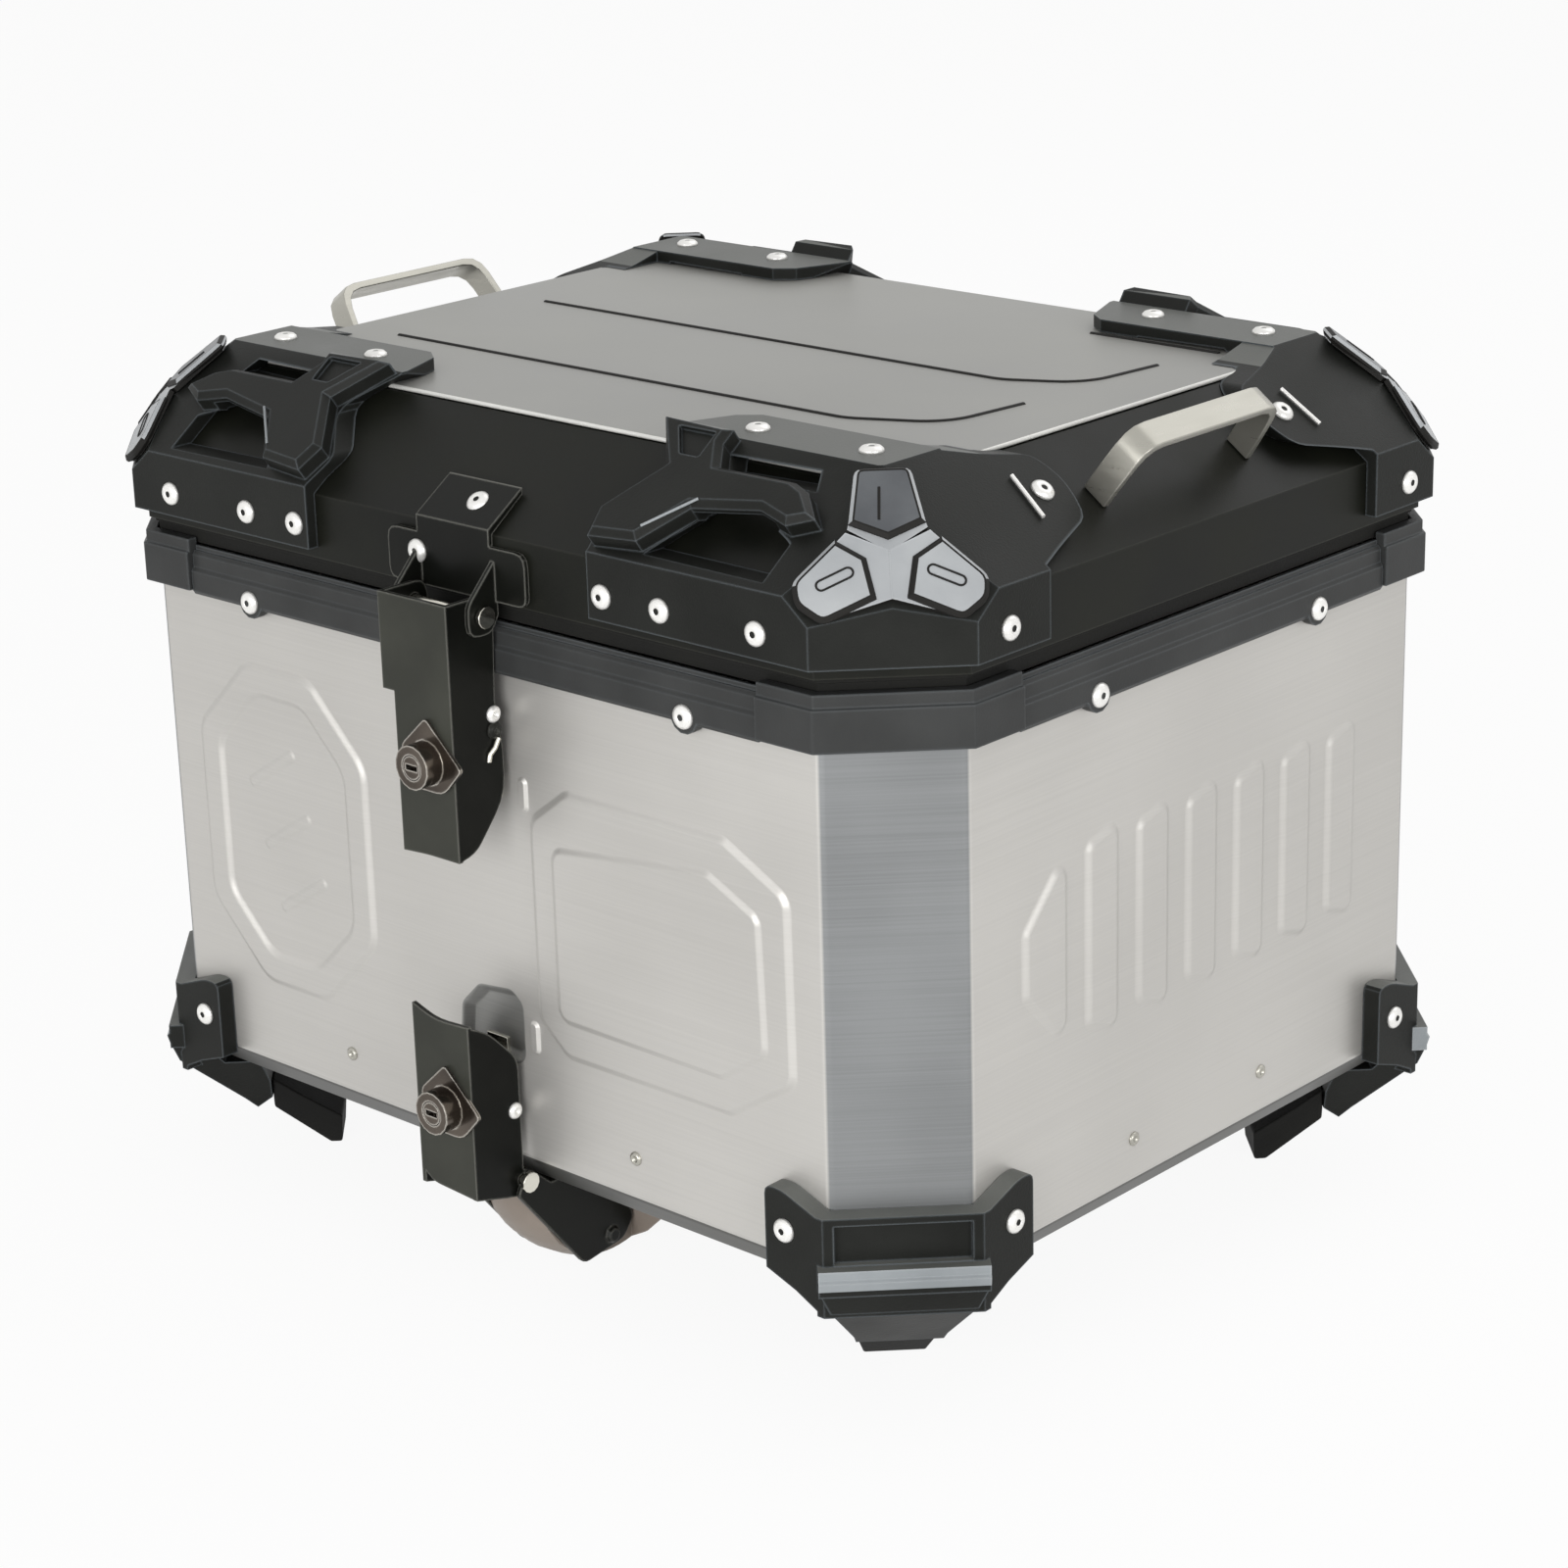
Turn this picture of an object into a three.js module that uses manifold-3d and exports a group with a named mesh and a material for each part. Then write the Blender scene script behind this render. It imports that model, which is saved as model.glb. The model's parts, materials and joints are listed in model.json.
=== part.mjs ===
// A motorcycle top case: an octagonal tub of sheet aluminium, a hipped lid with moulded corner
// guards, two keyed latches on the front and a piano hinge behind.
// Millimetres, +Z up, latches towards -Y. The body's bottom fold is at z = 0 while the pieces are
// made, and the last lines stand the case on its feet, with the middle of its box over the origin.
import * as THREE from 'three';
import { mergeVertices } from 'three/addons/utils/BufferGeometryUtils.js';
import Module from 'manifold-3d';

const wasm = await Module();
wasm.setup();

// Body tub
const BODY_W = 420;
const BODY_D = 338;
const BODY_H = 213.4;
const CORNER_CUT = 35.7;
const BODY_WALL = 2;
const TUCK_H = 12;
const TUCK_IN = 10;
const MAT_T = 2.5;
const MAT_PLAY = 4;
const GAP = 0.3;

// Pressed ribs of the body
const RIB_PROUD = 1.5;
const RIB_SLOPE = 3;
const SLATS = 7;
const SLAT_PITCH = 29.8;
const SLAT_W = 19;
const SLAT_Z = 64;
const SLAT_H = 81;
const SLAT_SKEW = 5;

// Reliefs of the front, as shares of half the flat's width and of the body's height
const OUTER_PANEL = [
  [0.172, 0.656], [0.287, 0.726], [0.74, 0.726], [0.918, 0.651], [0.924, 0.314], [0.74, 0.22],
  [0.258, 0.22], [0.172, 0.281],
];
const INNER_PANEL = [
  [0.241, 0.619], [0.7, 0.661], [0.843, 0.604], [0.855, 0.356], [0.723, 0.286], [0.241, 0.291],
];
const RING = { x: -0.62, z: 0.483, halfX: 0.287, halfZ: 0.319, corner: 0.62 };
const RING_BAND = 15;

// Pressed lines of the top panel, as shares of half its width and half its depth
const LINES = [
  [[-0.835, -0.542], [0.631, -0.542], [0.829, -0.43], [0.829, -0.104]],
  [[-0.823, 0.096], [0.673, 0.096], [0.841, 0.207], [0.841, 0.518]],
  [[0.511, 0.757], [0.883, 0.757]],
];

// Lid
const SEAM_H = 7.6;
const LID_PROUD = 3;
const LID_WALL = 2;
const SKIRT_H = 25;
const LID_RISE = 33.6;
const LID_INSET = 46.5;
const TOP_CUT = 6;
const PANEL_T = 2;
const PANEL_SEAT = 14;
const LINE_W = 3;
const LINE_PROUD = 0.8;
const SEAL_W = 8;

// Rim band and corner pieces
const STRIP_DROP = 19.4;
const STRIP_H = 17.5;
const STRIP_PROUD = 4.5;
const STRIP_TAB_R = 6.5;
const STRIP_LIP = 1.2;
const RIM_DROP = 17.9;
const RIM_H = 20.8;
const RIM_ARM = 24;
const RIM_PROUD = 6;
const ARMOUR_PROUD = 8;

// Rivets
const RIVET_R = 4.4;
const RIVET_PROUD = 1.8;

// Lower corner guards and foot pads
const LOWER_ARM = 24;
const LOWER_TOP = 24.5;
const LOWER_EAR = 6;
const LOWER_RIVET_Z = 15.1;
const LOWER_FOOT = 57.8;
const BAR_PROUD = 4;
const RECESS_DEPTH = 2.5;
const PAD_HALF = 17;
const TOE_HALF = 11.5;

// Upper corner guards
const GUARD_LIFT = 4.5;
const SLOPE_RISE = 7.6;
const APEX_IN = 6.3;
const APEX_UP = 16;
const CHEEK_SLOPE = 1.37;
const CHEEK_TURN = 0.117;
const FLANGE_RISE = 5.4;
const GUARD_ARM = 100;
const FLANGE_W = 27.5;
const LOOP_PROUD = 8;
const LOOP_BEVEL = 2.5;
const LOOP_T = 4.5;
const TRIM_BASE = 1.6;
const TILE_T = 2.2;
const TILE_BEVEL = 1.2;

// Handles
const STRAP_W = 11;
const STRAP_T = 3;
const HANDLE_SPAN = 88;
const HANDLE_RISE = 29;
const HANDLE_TAPER = 4;
const HANDLE_BEND = 16;
const HANDLE_UP = 23.5;

// Latches
const LATCH_X = 4;
const SHEET = 2;
const HASP_PROUD = 28;
const HASP_BACK = 3.5;
const UPPER_HASP_W = 36;
const UPPER_PIVOT_OUT = 12;
const UPPER_PIVOT_UP = 4.6;
const UPPER_TOP = 7;
const UPPER_BOTTOM_DROP = 85.9;
const UPPER_STEP_DROP = 22.4;
const UPPER_STEP = 6;
const UPPER_LOCK_DROP = 48.9;
const UPPER_LOCK_SHIFT = 5.6;
const LOWER_HASP_W = 30;
const LOWER_SHIFT = 2;
const LOWER_PIVOT_OUT = 3.9;
const LOWER_PIVOT_Z = -7.4;
const LOWER_TOP_Z = 62.5;
const LOWER_LOCK_Z = 28;
const LOWER_LOCK_SHIFT = 2.8;
const BRACKET_W = 72;
const PIN_R = 2.2;
const PIN_HEAD_R = 4.2;
const PIN_PLAY = 0.35;
const LUG_R = 7;
const BARREL_R = 8.5;
const BARREL_PROUD = 9.5;
const NECK_R = 6.7;
const NECK_L = 8;
const PLUG_R = 4.6;
const FLANGE_R = 14;
const CAM_L = 12;
const CAM_T = 2.5;
const STRIKER_W = 11;
const STRIKER_H = 8;
const ARM_REACH = 52;
const ARM_DROP = 53;
const DISH_R = 42;
const DISH_H = 42;
const DISH_IN = 42;
const DISH_WALL = 2.5;

// Hinge
const HINGE_CLEAR = 12.3;
const KNUCKLES = 5;
const KNUCKLE_R = 4.6;
const HINGE_OUT = 11;
const HINGE_UP = 3.6;

// Sizes that follow from the ones above
const HALF_W = BODY_W / 2;
const HALF_D = BODY_D / 2;
const RAKE = 2 - Math.SQRT2;
const LID_Z = BODY_H + SEAM_H;
const FOLD_Z = LID_Z + SKIRT_H;
const TOP_Z = FOLD_Z + LID_RISE;
const SLOPE = LID_RISE / LID_INSET;
const SKEW = (HALF_W - HALF_D) / 2;
const FRONT = -HALF_D;
const FLAT_W = HALF_W - CORNER_CUT;
const FLAT_D = HALF_D - CORNER_CUT;
const HINGE_W = 2 * (FLAT_W - GUARD_ARM - HINGE_CLEAR);
const BEYOND = BODY_W + BODY_D + BODY_H;
const STRIP_Z = BODY_H - STRIP_DROP;
const RIM_Z = BODY_H - RIM_DROP;
const HINGE_Z = BODY_H + HINGE_UP;
const UPPER_PIVOT_Z = BODY_H + UPPER_PIVOT_UP;
const UPPER_BOTTOM = BODY_H - UPPER_BOTTOM_DROP;
const UPPER_STEP_Z = BODY_H - UPPER_STEP_DROP;
const UPPER_LOCK_Z = BODY_H - UPPER_LOCK_DROP;
const LOWER_X = LATCH_X + LOWER_SHIFT;
const UPPER_LOCK_X = LATCH_X + UPPER_LOCK_SHIFT;
const LOWER_LOCK_X = LOWER_X + LOWER_LOCK_SHIFT;

// Distance of a corner's cut face from the diagonal's foot, at an offset from the body's walls.
const cutAt = (offset) => CORNER_CUT + offset * RAKE;
const faceAt = (offset) => (HALF_W + HALF_D + 2 * offset - cutAt(offset)) / Math.SQRT2;
const LID_FACE = faceAt(LID_PROUD);
const TOP_FACE = (HALF_W + HALF_D + 2 * (LID_PROUD - LID_INSET) - TOP_CUT) / Math.SQRT2;
const FACET_SLOPE = LID_RISE / (LID_FACE - TOP_FACE);
const FACET_RISE = APEX_UP - APEX_IN * FACET_SLOPE;

// Materials, one for each piece
const finishes = {
  aluminium: { color: 0xc2c1bd, roughness: 0.42, metalness: 0.9 },
  panel: { color: 0xa9a9a5, roughness: 0.45, metalness: 0.85 },
  black: { color: 0x31322e, roughness: 0.45, metalness: 0.1 },
  steel: { color: 0x2a2a28, roughness: 0.35, metalness: 0.3 },
  plastic: { color: 0x3b3c38, roughness: 0.55, metalness: 0 },
  tile: { color: 0x9a9da3, roughness: 0.4, metalness: 0.2 },
  chrome: { color: 0xd6d6d2, roughness: 0.15, metalness: 1 },
  rubber: { color: 0x1c1c1c, roughness: 0.85, metalness: 0 },
  dish: { color: 0x9b918a, roughness: 0.5, metalness: 0.3 },
};

// Turns a closed geometry into a solid that can be joined and cut.
function solid(geometry) {
  const bare = geometry.clone();
  bare.deleteAttribute('normal');
  bare.deleteAttribute('uv');
  const merged = mergeVertices(bare, 1e-4);
  return new wasm.Manifold(new wasm.Mesh({
    numProp: 3,
    vertProperties: Float32Array.from(merged.attributes.position.array),
    triVerts: Uint32Array.from(merged.index.array),
  }));
}

// Turns a solid back into a three.js geometry.
function geometryOf(body) {
  const { vertProperties, triVerts } = body.getMesh();
  const geometry = new THREE.BufferGeometry();
  geometry.setAttribute('position', new THREE.BufferAttribute(vertProperties, 3));
  geometry.setIndex(new THREE.BufferAttribute(triVerts, 1));
  geometry.computeVertexNormals();
  return geometry;
}

const join = (...bodies) => bodies.reduce((whole, next) => whole.add(next));
const cut = (body, ...tools) => tools.reduce((left, tool) => left.subtract(tool), body);

function piece(name, shape, finish) {
  const geometry = shape.isBufferGeometry ? shape : geometryOf(shape);
  const mesh = new THREE.Mesh(geometry, new THREE.MeshStandardMaterial(finishes[finish]));
  mesh.name = name;
  return mesh;
}

// Copy of a front right piece at another corner: +1 or -1 along x and along y.
function atCorner(geometry, sideX, sideY) {
  const copy = geometry.clone().scale(sideX, sideY, 1);
  if (sideX * sideY < 0) {
    const index = copy.index.array;
    for (let i = 0; i < index.length; i += 3) {
      [index[i], index[i + 1]] = [index[i + 1], index[i]];
    }
  }
  copy.computeVertexNormals();
  return copy;
}

const corners = {
  front_right: [1, 1],
  front_left: [-1, 1],
  rear_right: [1, -1],
  rear_left: [-1, -1],
};

function fourCorners(name, shape, finish) {
  const geometry = shape.isBufferGeometry ? shape : geometryOf(shape);
  return Object.entries(corners).map(
    ([corner, [sideX, sideY]]) => piece(`${name}_${corner}`, atCorner(geometry, sideX, sideY), finish),
  );
}

// Closed solid through a stack of convex rings with equally many points.
function loft(rings) {
  const count = rings[0].length;
  const top = (rings.length - 1) * count;
  const index = [];
  for (let r = 0; r < top; r += count) {
    for (let i = 0; i < count; i += 1) {
      const j = (i + 1) % count;
      index.push(r + i, r + j, r + count + j, r + i, r + count + j, r + count + i);
    }
  }
  for (let i = 1; i + 1 < count; i += 1) {
    index.push(0, i + 1, i, top, top + i, top + i + 1);
  }
  const geometry = new THREE.BufferGeometry();
  geometry.setAttribute('position', new THREE.Float32BufferAttribute(rings.flat(2), 3));
  geometry.setIndex(index);
  return solid(geometry);
}

// Shape through corner points [a, b] or [a, b, r], each rounded by r where its two sides have room.
function rounded(points) {
  const shape = new THREE.Shape();
  points.forEach(([a, b, r = 0], i) => {
    const corner = new THREE.Vector2(a, b);
    const before = new THREE.Vector2(...points.at(i - 1).slice(0, 2)).sub(corner);
    const after = new THREE.Vector2(...points[(i + 1) % points.length].slice(0, 2)).sub(corner);
    const reach = Math.min(r, 0.45 * before.length(), 0.45 * after.length());
    const start = before.setLength(reach).add(corner);
    const end = after.setLength(reach).add(corner);
    if (i === 0) shape.moveTo(start.x, start.y);
    else shape.lineTo(start.x, start.y);
    if (reach > 0) shape.quadraticCurveTo(a, b, end.x, end.y);
  });
  return shape;
}

// Frames that lay an outline's first two axes on (x, y), (y, z) or (x, z) and extrude along the third.
const axes = {
  x: [new THREE.Vector3(0, 1, 0), new THREE.Vector3(0, 0, 1), new THREE.Vector3(1, 0, 0)],
  y: [new THREE.Vector3(1, 0, 0), new THREE.Vector3(0, 0, 1), new THREE.Vector3(0, -1, 0)],
  z: [new THREE.Vector3(1, 0, 0), new THREE.Vector3(0, 1, 0), new THREE.Vector3(0, 0, 1)],
};

// Extrusion of an outline along x, y or z between two places, inside an optional frame.
function prism(outline, axis, from, to, frame = new THREE.Matrix4()) {
  const shape = outline instanceof THREE.Shape ? outline : rounded(outline);
  const depth = Math.abs(to - from);
  const geometry = new THREE.ExtrudeGeometry(shape, { depth, bevelEnabled: false, curveSegments: 3 });
  const start = axis === 'y' ? -Math.max(from, to) : Math.min(from, to);
  geometry.translate(0, 0, start);
  geometry.applyMatrix4(new THREE.Matrix4().makeBasis(...axes[axis]));
  return solid(geometry.applyMatrix4(frame));
}

const box = (x0, x1, y0, y1, z0, z1, frame) => prism(
  [[x0, y0], [x1, y0], [x1, y1], [x0, y1]], 'z', z0, z1, frame,
);

// Bar of round section between two places along an axis, with its middle at (a, b) of the outline.
function rod(axis, a, b, from, to, radius, sides = 16) {
  const outline = Array.from({ length: sides }, (_, i) => {
    const turn = (2 * Math.PI * (i + 0.5)) / sides;
    return [a + radius * Math.cos(turn), b + radius * Math.sin(turn)];
  });
  return prism(outline, axis, from, to);
}

// Plate with sloped edges: the outline is its foot, and the face is drawn in by the slope.
function raised(outline, height, slope, frame, depth = 0.4) {
  const shape = outline instanceof THREE.Shape ? outline : rounded(outline);
  const geometry = new THREE.ExtrudeGeometry(shape, {
    depth,
    bevelThickness: height,
    bevelSize: slope,
    bevelOffset: -slope,
    bevelSegments: 1,
    curveSegments: 3,
  });
  return solid(geometry.applyMatrix4(frame));
}

// Frame with its first axis along `right`, its second along `up`, at a point.
function frameAt(point, right, up) {
  const across = new THREE.Vector3(...right).normalize();
  const rise = new THREE.Vector3(...up).normalize();
  const out = new THREE.Vector3().crossVectors(across, rise);
  return new THREE.Matrix4().makeBasis(across, rise, out).setPosition(...point);
}

// Rivet head standing on a surface: a low cone frustum along the frame's third axis.
function rivet(point, right, up, sunk = 1) {
  const height = RIVET_PROUD + sunk;
  const head = new THREE.CylinderGeometry(RIVET_R * 0.62, RIVET_R, height, 8);
  head.rotateX(Math.PI / 2).translate(0, 0, height / 2 - sunk);
  return solid(head.applyMatrix4(frameAt(point, right, up)));
}

const rivetOnFront = (x, proud, z) => rivet([x, FRONT - proud, z], [1, 0, 0], [0, 0, 1]);
const rivetOnSide = (y, proud, z) => rivet([HALF_W + proud, y, z], [0, 1, 0], [0, 0, 1]);

// Ring of eight points round the case.
function octagon(halfX, halfY, corner, z) {
  const [x, y] = [halfX - corner, halfY - corner];
  return [
    [x, -halfY, z], [halfX, -y, z], [halfX, y, z], [x, halfY, z],
    [-x, halfY, z], [-halfX, y, z], [-halfX, -y, z], [-x, -halfY, z],
  ];
}

const wallRing = (offset, z) => octagon(HALF_W + offset, HALF_D + offset, cutAt(offset), z);

// Hipped roof over the body: walls, four slopes and four corner facets. The skin gives the walls'
// offset and how far above the lid's own faces its slopes and facets lie.
function hipRing(skin, z) {
  const inset = LID_PROUD - (z - skin.slope - FOLD_Z) / SLOPE;
  const offset = Math.min(skin.wall, inset);
  const facet = LID_FACE - (z - skin.facet - FOLD_Z) / FACET_SLOPE;
  const face = Math.min(faceAt(skin.wall), facet);
  const [halfX, halfY] = [HALF_W + offset, HALF_D + offset];
  return octagon(halfX, halfY, Math.max(0.5, halfX + halfY - face * Math.SQRT2), z);
}

function hip(skin, bottom, top) {
  const slopeFold = FOLD_Z + skin.slope - (skin.wall - LID_PROUD) * SLOPE;
  const facetFold = FOLD_Z + skin.facet - (faceAt(skin.wall) - LID_FACE) * FACET_SLOPE;
  const folds = [slopeFold, facetFold].filter((z) => z > bottom + 0.01 && z < top - 0.01);
  const levels = [bottom, ...folds, top].sort((a, b) => a - b);
  const rings = levels.filter((z, i) => i === 0 || z - levels[i - 1] > 0.01);
  return loft(rings.map((z) => hipRing(skin, z)));
}

// The lid's skin, moved outwards by a distance measured square to its faces.
function lidSkin(grow) {
  return {
    wall: LID_PROUD + grow,
    slope: grow * Math.hypot(1, SLOPE),
    facet: grow * Math.hypot(1, FACET_SLOPE),
  };
}

// Plan outline of a band round the front right corner, between two offsets from the body's walls.
// It starts `arm` before the cut corner on the front and ends `arm` past it on the side.
function cornerBand(inner, outer, arm) {
  const startX = HALF_W - CORNER_CUT - arm;
  const endY = -(HALF_D - CORNER_CUT - arm);
  const around = (offset) => [
    [startX, -(HALF_D + offset)],
    [HALF_W + offset - cutAt(offset), -(HALF_D + offset)],
    [HALF_W + offset, -(HALF_D + offset - cutAt(offset))],
    [HALF_W + offset, endY],
  ];
  return [...around(outer), ...around(inner).reverse()];
}

// Frame of a corner's diagonal: x outwards through the cut face, y along it, z up.
const diagonal = new THREE.Matrix4().makeBasis(
  new THREE.Vector3(1, -1, 0).normalize(),
  new THREE.Vector3(1, 1, 0).normalize(),
  new THREE.Vector3(0, 0, 1),
).setPosition(SKEW, SKEW, 0);

// Body tub with its pressed ribs
const onFront = (proud) => frameAt([0, FRONT - proud, 0], [1, 0, 0], [0, 0, 1]);
const onSide = (side, proud) => frameAt([side * (HALF_W + proud), 0, 0], [0, side, 0], [0, 0, 1]);
const onWall = (shares) => shares.map(([a, b]) => [a * FLAT_W, b * BODY_H]);

function bodyShell() {
  const outer = loft([wallRing(-TUCK_IN, -TUCK_H), wallRing(0, 0), wallRing(0, BODY_H)]);
  const inner = loft([
    wallRing(-TUCK_IN - BODY_WALL, BODY_WALL - TUCK_H),
    wallRing(-BODY_WALL, BODY_WALL),
    wallRing(-BODY_WALL, BODY_H + 1),
  ]);
  const sunk = 0.6;
  const ribs = [
    raised(onWall(OUTER_PANEL), RIB_PROUD, RIB_SLOPE, onFront(-sunk)),
    raised(onWall(INNER_PANEL), RIB_PROUD, RIB_SLOPE, onFront(RIB_PROUD - sunk)),
    raised(ringOutline(), RIB_PROUD, RIB_SLOPE, onFront(-sunk)),
  ];
  for (let i = -1; i <= 1; i += 1) {
    const [x, z] = [RING.x * FLAT_W + 13 * i, RING.z * BODY_H - 24 * i];
    const bar = [[x - 20, z - 9], [x + 12, z + 9], [x + 20, z + 9], [x - 12, z - 9]];
    ribs.push(raised(bar, RIB_PROUD, RIB_SLOPE / 2, onFront(-sunk)));
  }
  for (const side of [1, -1]) {
    for (let i = 0; i < SLATS; i += 1) {
      const y = side * SLAT_PITCH * (i - (SLATS - 1) / 2);
      const [a, b] = [y - SLAT_W / 2, y + SLAT_W / 2];
      const slat = [
        [a, SLAT_Z + SLAT_SKEW], [b, SLAT_Z], [b, SLAT_Z + SLAT_H], [a, SLAT_Z + SLAT_H - SLAT_SKEW],
      ];
      ribs.push(raised(slat, RIB_PROUD, RIB_SLOPE, onSide(side, -sunk)));
    }
  }
  return cut(join(outer, ...ribs), inner);
}

// Long eight-sided ring pressed into the left half of the front.
function ringOutline() {
  const turn = (inset) => {
    const x = RING.halfX * FLAT_W - inset;
    const z = RING.halfZ * BODY_H - inset;
    const corner = x * RING.corner;
    return [
      [x - corner, -z], [x, corner - z], [x, z - corner], [x - corner, z],
      [corner - x, z], [-x, z - corner], [-x, corner - z], [corner - x, -z],
    ].map(([a, b]) => [RING.x * FLAT_W + a, RING.z * BODY_H + b]);
  };
  const ring = rounded(turn(0));
  ring.holes.push(rounded(turn(RING_BAND)));
  return ring;
}

function floorMat() {
  const low = BODY_WALL - TUCK_H + GAP;
  const offset = -TUCK_IN - BODY_WALL - MAT_PLAY;
  return loft([wallRing(offset, low), wallRing(offset, low + MAT_T)]);
}

// Rim band: a strip along each wall, with a round tab behind each of its two rivets. A thin lip
// hides the bare edge of the sheet.
function rimStrip(half, wall, rivetShare) {
  const profile = [
    [wall + GAP, STRIP_Z],
    [wall + STRIP_PROUD - 1, STRIP_Z],
    [wall + STRIP_PROUD, STRIP_Z + 1.5],
    [wall + STRIP_PROUD, STRIP_Z + 9.5],
    [wall + STRIP_PROUD - 1.2, STRIP_Z + 11],
    [wall + STRIP_PROUD - 1.2, STRIP_Z + STRIP_H - 1.5],
    [wall + STRIP_PROUD - 2.4, STRIP_Z + STRIP_H],
    [wall + GAP + STRIP_LIP, STRIP_Z + STRIP_H],
    [wall + GAP + STRIP_LIP, BODY_H],
    [wall + GAP, BODY_H],
  ];
  const reach = half - CORNER_CUT - RIM_ARM - GAP;
  const strip = prism(profile, 'x', -reach, reach);
  const rivetZ = STRIP_Z + 2.7;
  const tabs = [-rivetShare, rivetShare].map((share) => join(
    rod('y', share * reach, rivetZ, wall + GAP, wall + STRIP_PROUD, STRIP_TAB_R, 12),
    rivet([share * reach, wall + STRIP_PROUD, rivetZ], [-1, 0, 0], [0, 0, 1]),
  ));
  return geometryOf(join(strip, ...tabs));
}

function rimStrips() {
  const long = rimStrip(HALF_W, HALF_D, 0.77);
  const short = rimStrip(HALF_D, HALF_W, 0.61);
  return [
    piece('rim_strip_rear', long.clone(), 'plastic'),
    piece('rim_strip_front', long.clone().rotateZ(Math.PI), 'plastic'),
    piece('rim_strip_left', short.clone().rotateZ(Math.PI / 2), 'plastic'),
    piece('rim_strip_right', short.clone().rotateZ(-Math.PI / 2), 'plastic'),
  ];
}

function rimCorner() {
  const wide = prism(cornerBand(GAP, RIM_PROUD, RIM_ARM), 'z', RIM_Z, RIM_Z + RIM_H - 5);
  const lip = prism(cornerBand(GAP, RIM_PROUD - 1.2, RIM_ARM), 'z', RIM_Z, RIM_Z + RIM_H);
  return join(wide, lip);
}

// Lower corner guard: two riveted ears, a framed face across the cut corner and a wedge below it
const cutFace = faceAt(ARMOUR_PROUD);
const wedgeHalf = cutAt(ARMOUR_PROUD) / Math.SQRT2;

// Outline of the wedge and its pad seen along the diagonal, narrowing downwards.
const wedgeFront = [
  [-wedgeHalf - 2, 6], [-wedgeHalf - 2, -2], [-PAD_HALF, -LOWER_FOOT + 24], [-TOE_HALF, -LOWER_FOOT - 1],
  [TOE_HALF, -LOWER_FOOT - 1], [PAD_HALF, -LOWER_FOOT + 24], [wedgeHalf + 2, -2], [wedgeHalf + 2, 6],
];

function lowerGuard() {
  const band = prism(cornerBand(GAP, ARMOUR_PROUD, LOWER_ARM), 'z', -TUCK_H - 2, LOWER_TOP + LOWER_EAR);
  const earX = FLAT_W - LOWER_ARM;
  const earY = FLAT_D - LOWER_ARM;
  const ear = (start, wall) => [
    [start, -2],
    [start, LOWER_TOP + LOWER_EAR, 7],
    [start + 8, LOWER_TOP + LOWER_EAR, 3],
    [start + LOWER_ARM, LOWER_TOP],
    [wall, LOWER_TOP],
    [wall, BEYOND],
    [BEYOND, BEYOND],
    [BEYOND, -BEYOND],
    [start + LOWER_ARM, -BEYOND],
    [start + LOWER_ARM, -TUCK_H],
    [start + 14, -7],
  ];
  const frontMask = prism(ear(earX, HALF_W - 1), 'y', -BEYOND, 0);
  const sideOutline = ear(earY, HALF_D - 1).map(([a, b, r]) => [-a, b, r]);
  const plates = band.intersect(frontMask).intersect(prism(sideOutline, 'x', 0, BEYOND));
  const recess = box(cutFace - RECESS_DEPTH, BEYOND, 4 - wedgeHalf, wedgeHalf - 4, 6.5, 21.5, diagonal);
  const bar = box(cutFace - 3, cutFace + BAR_PROUD, -wedgeHalf - 2, wedgeHalf + 2, -4, 6, diagonal);
  const side = [
    [cutFace + 1, 5.5],
    [cutFace + 5, 1.7],
    [cutFace + 1.2, -LOWER_FOOT + 46.5],
    [cutFace - 28.3, -LOWER_FOOT + 19.4],
    [cutFace - 34.8, -LOWER_FOOT + 24.2],
    [cutFace - 34.8, -LOWER_FOOT + 33],
    [faceAt(GAP - TUCK_IN) - 14, -TUCK_H - 1.5],
    [faceAt(GAP - TUCK_IN) + 0.5, -TUCK_H - 1.5],
    [faceAt(GAP) + 0.5, -1],
  ];
  const wedge = prism(side, 'y', -wedgeHalf - 2, wedgeHalf + 2, diagonal)
    .intersect(prism(wedgeFront, 'x', 0, BEYOND, diagonal));
  const rivets = [
    rivetOnFront(earX + 9, ARMOUR_PROUD, LOWER_RIVET_Z),
    rivetOnSide(-earY - 10, ARMOUR_PROUD, LOWER_RIVET_Z),
  ];
  return join(cut(plates, recess), bar, wedge, ...rivets);
}

function footPad() {
  const seat = cutFace - 34.8 - GAP;
  const side = [
    [seat, -LOWER_FOOT + 19],
    [cutFace - 37.8, -LOWER_FOOT + 16.6],
    [cutFace - 57.2, -LOWER_FOOT],
    [cutFace - 62, -LOWER_FOOT],
    [cutFace - 63, -LOWER_FOOT + 13],
    [seat, -LOWER_FOOT + 32.5],
  ];
  return prism(side, 'y', -PAD_HALF, PAD_HALF, diagonal)
    .intersect(prism(wedgeFront, 'x', 0, BEYOND, diagonal));
}

// Lid shell, open below, with a seat round its top for the panel
function lidShell() {
  const seatZ = TOP_Z - PANEL_T - GAP;
  const outer = hip(lidSkin(0), LID_Z, seatZ);
  const inner = hip(lidSkin(-LID_WALL), LID_Z - 1, seatZ - LID_WALL);
  const mouth = LID_INSET - LID_PROUD + PANEL_SEAT;
  const hole = loft([wallRing(-mouth, LID_Z), wallRing(-mouth, TOP_Z)]);
  return cut(outer, inner, hole);
}

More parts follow.
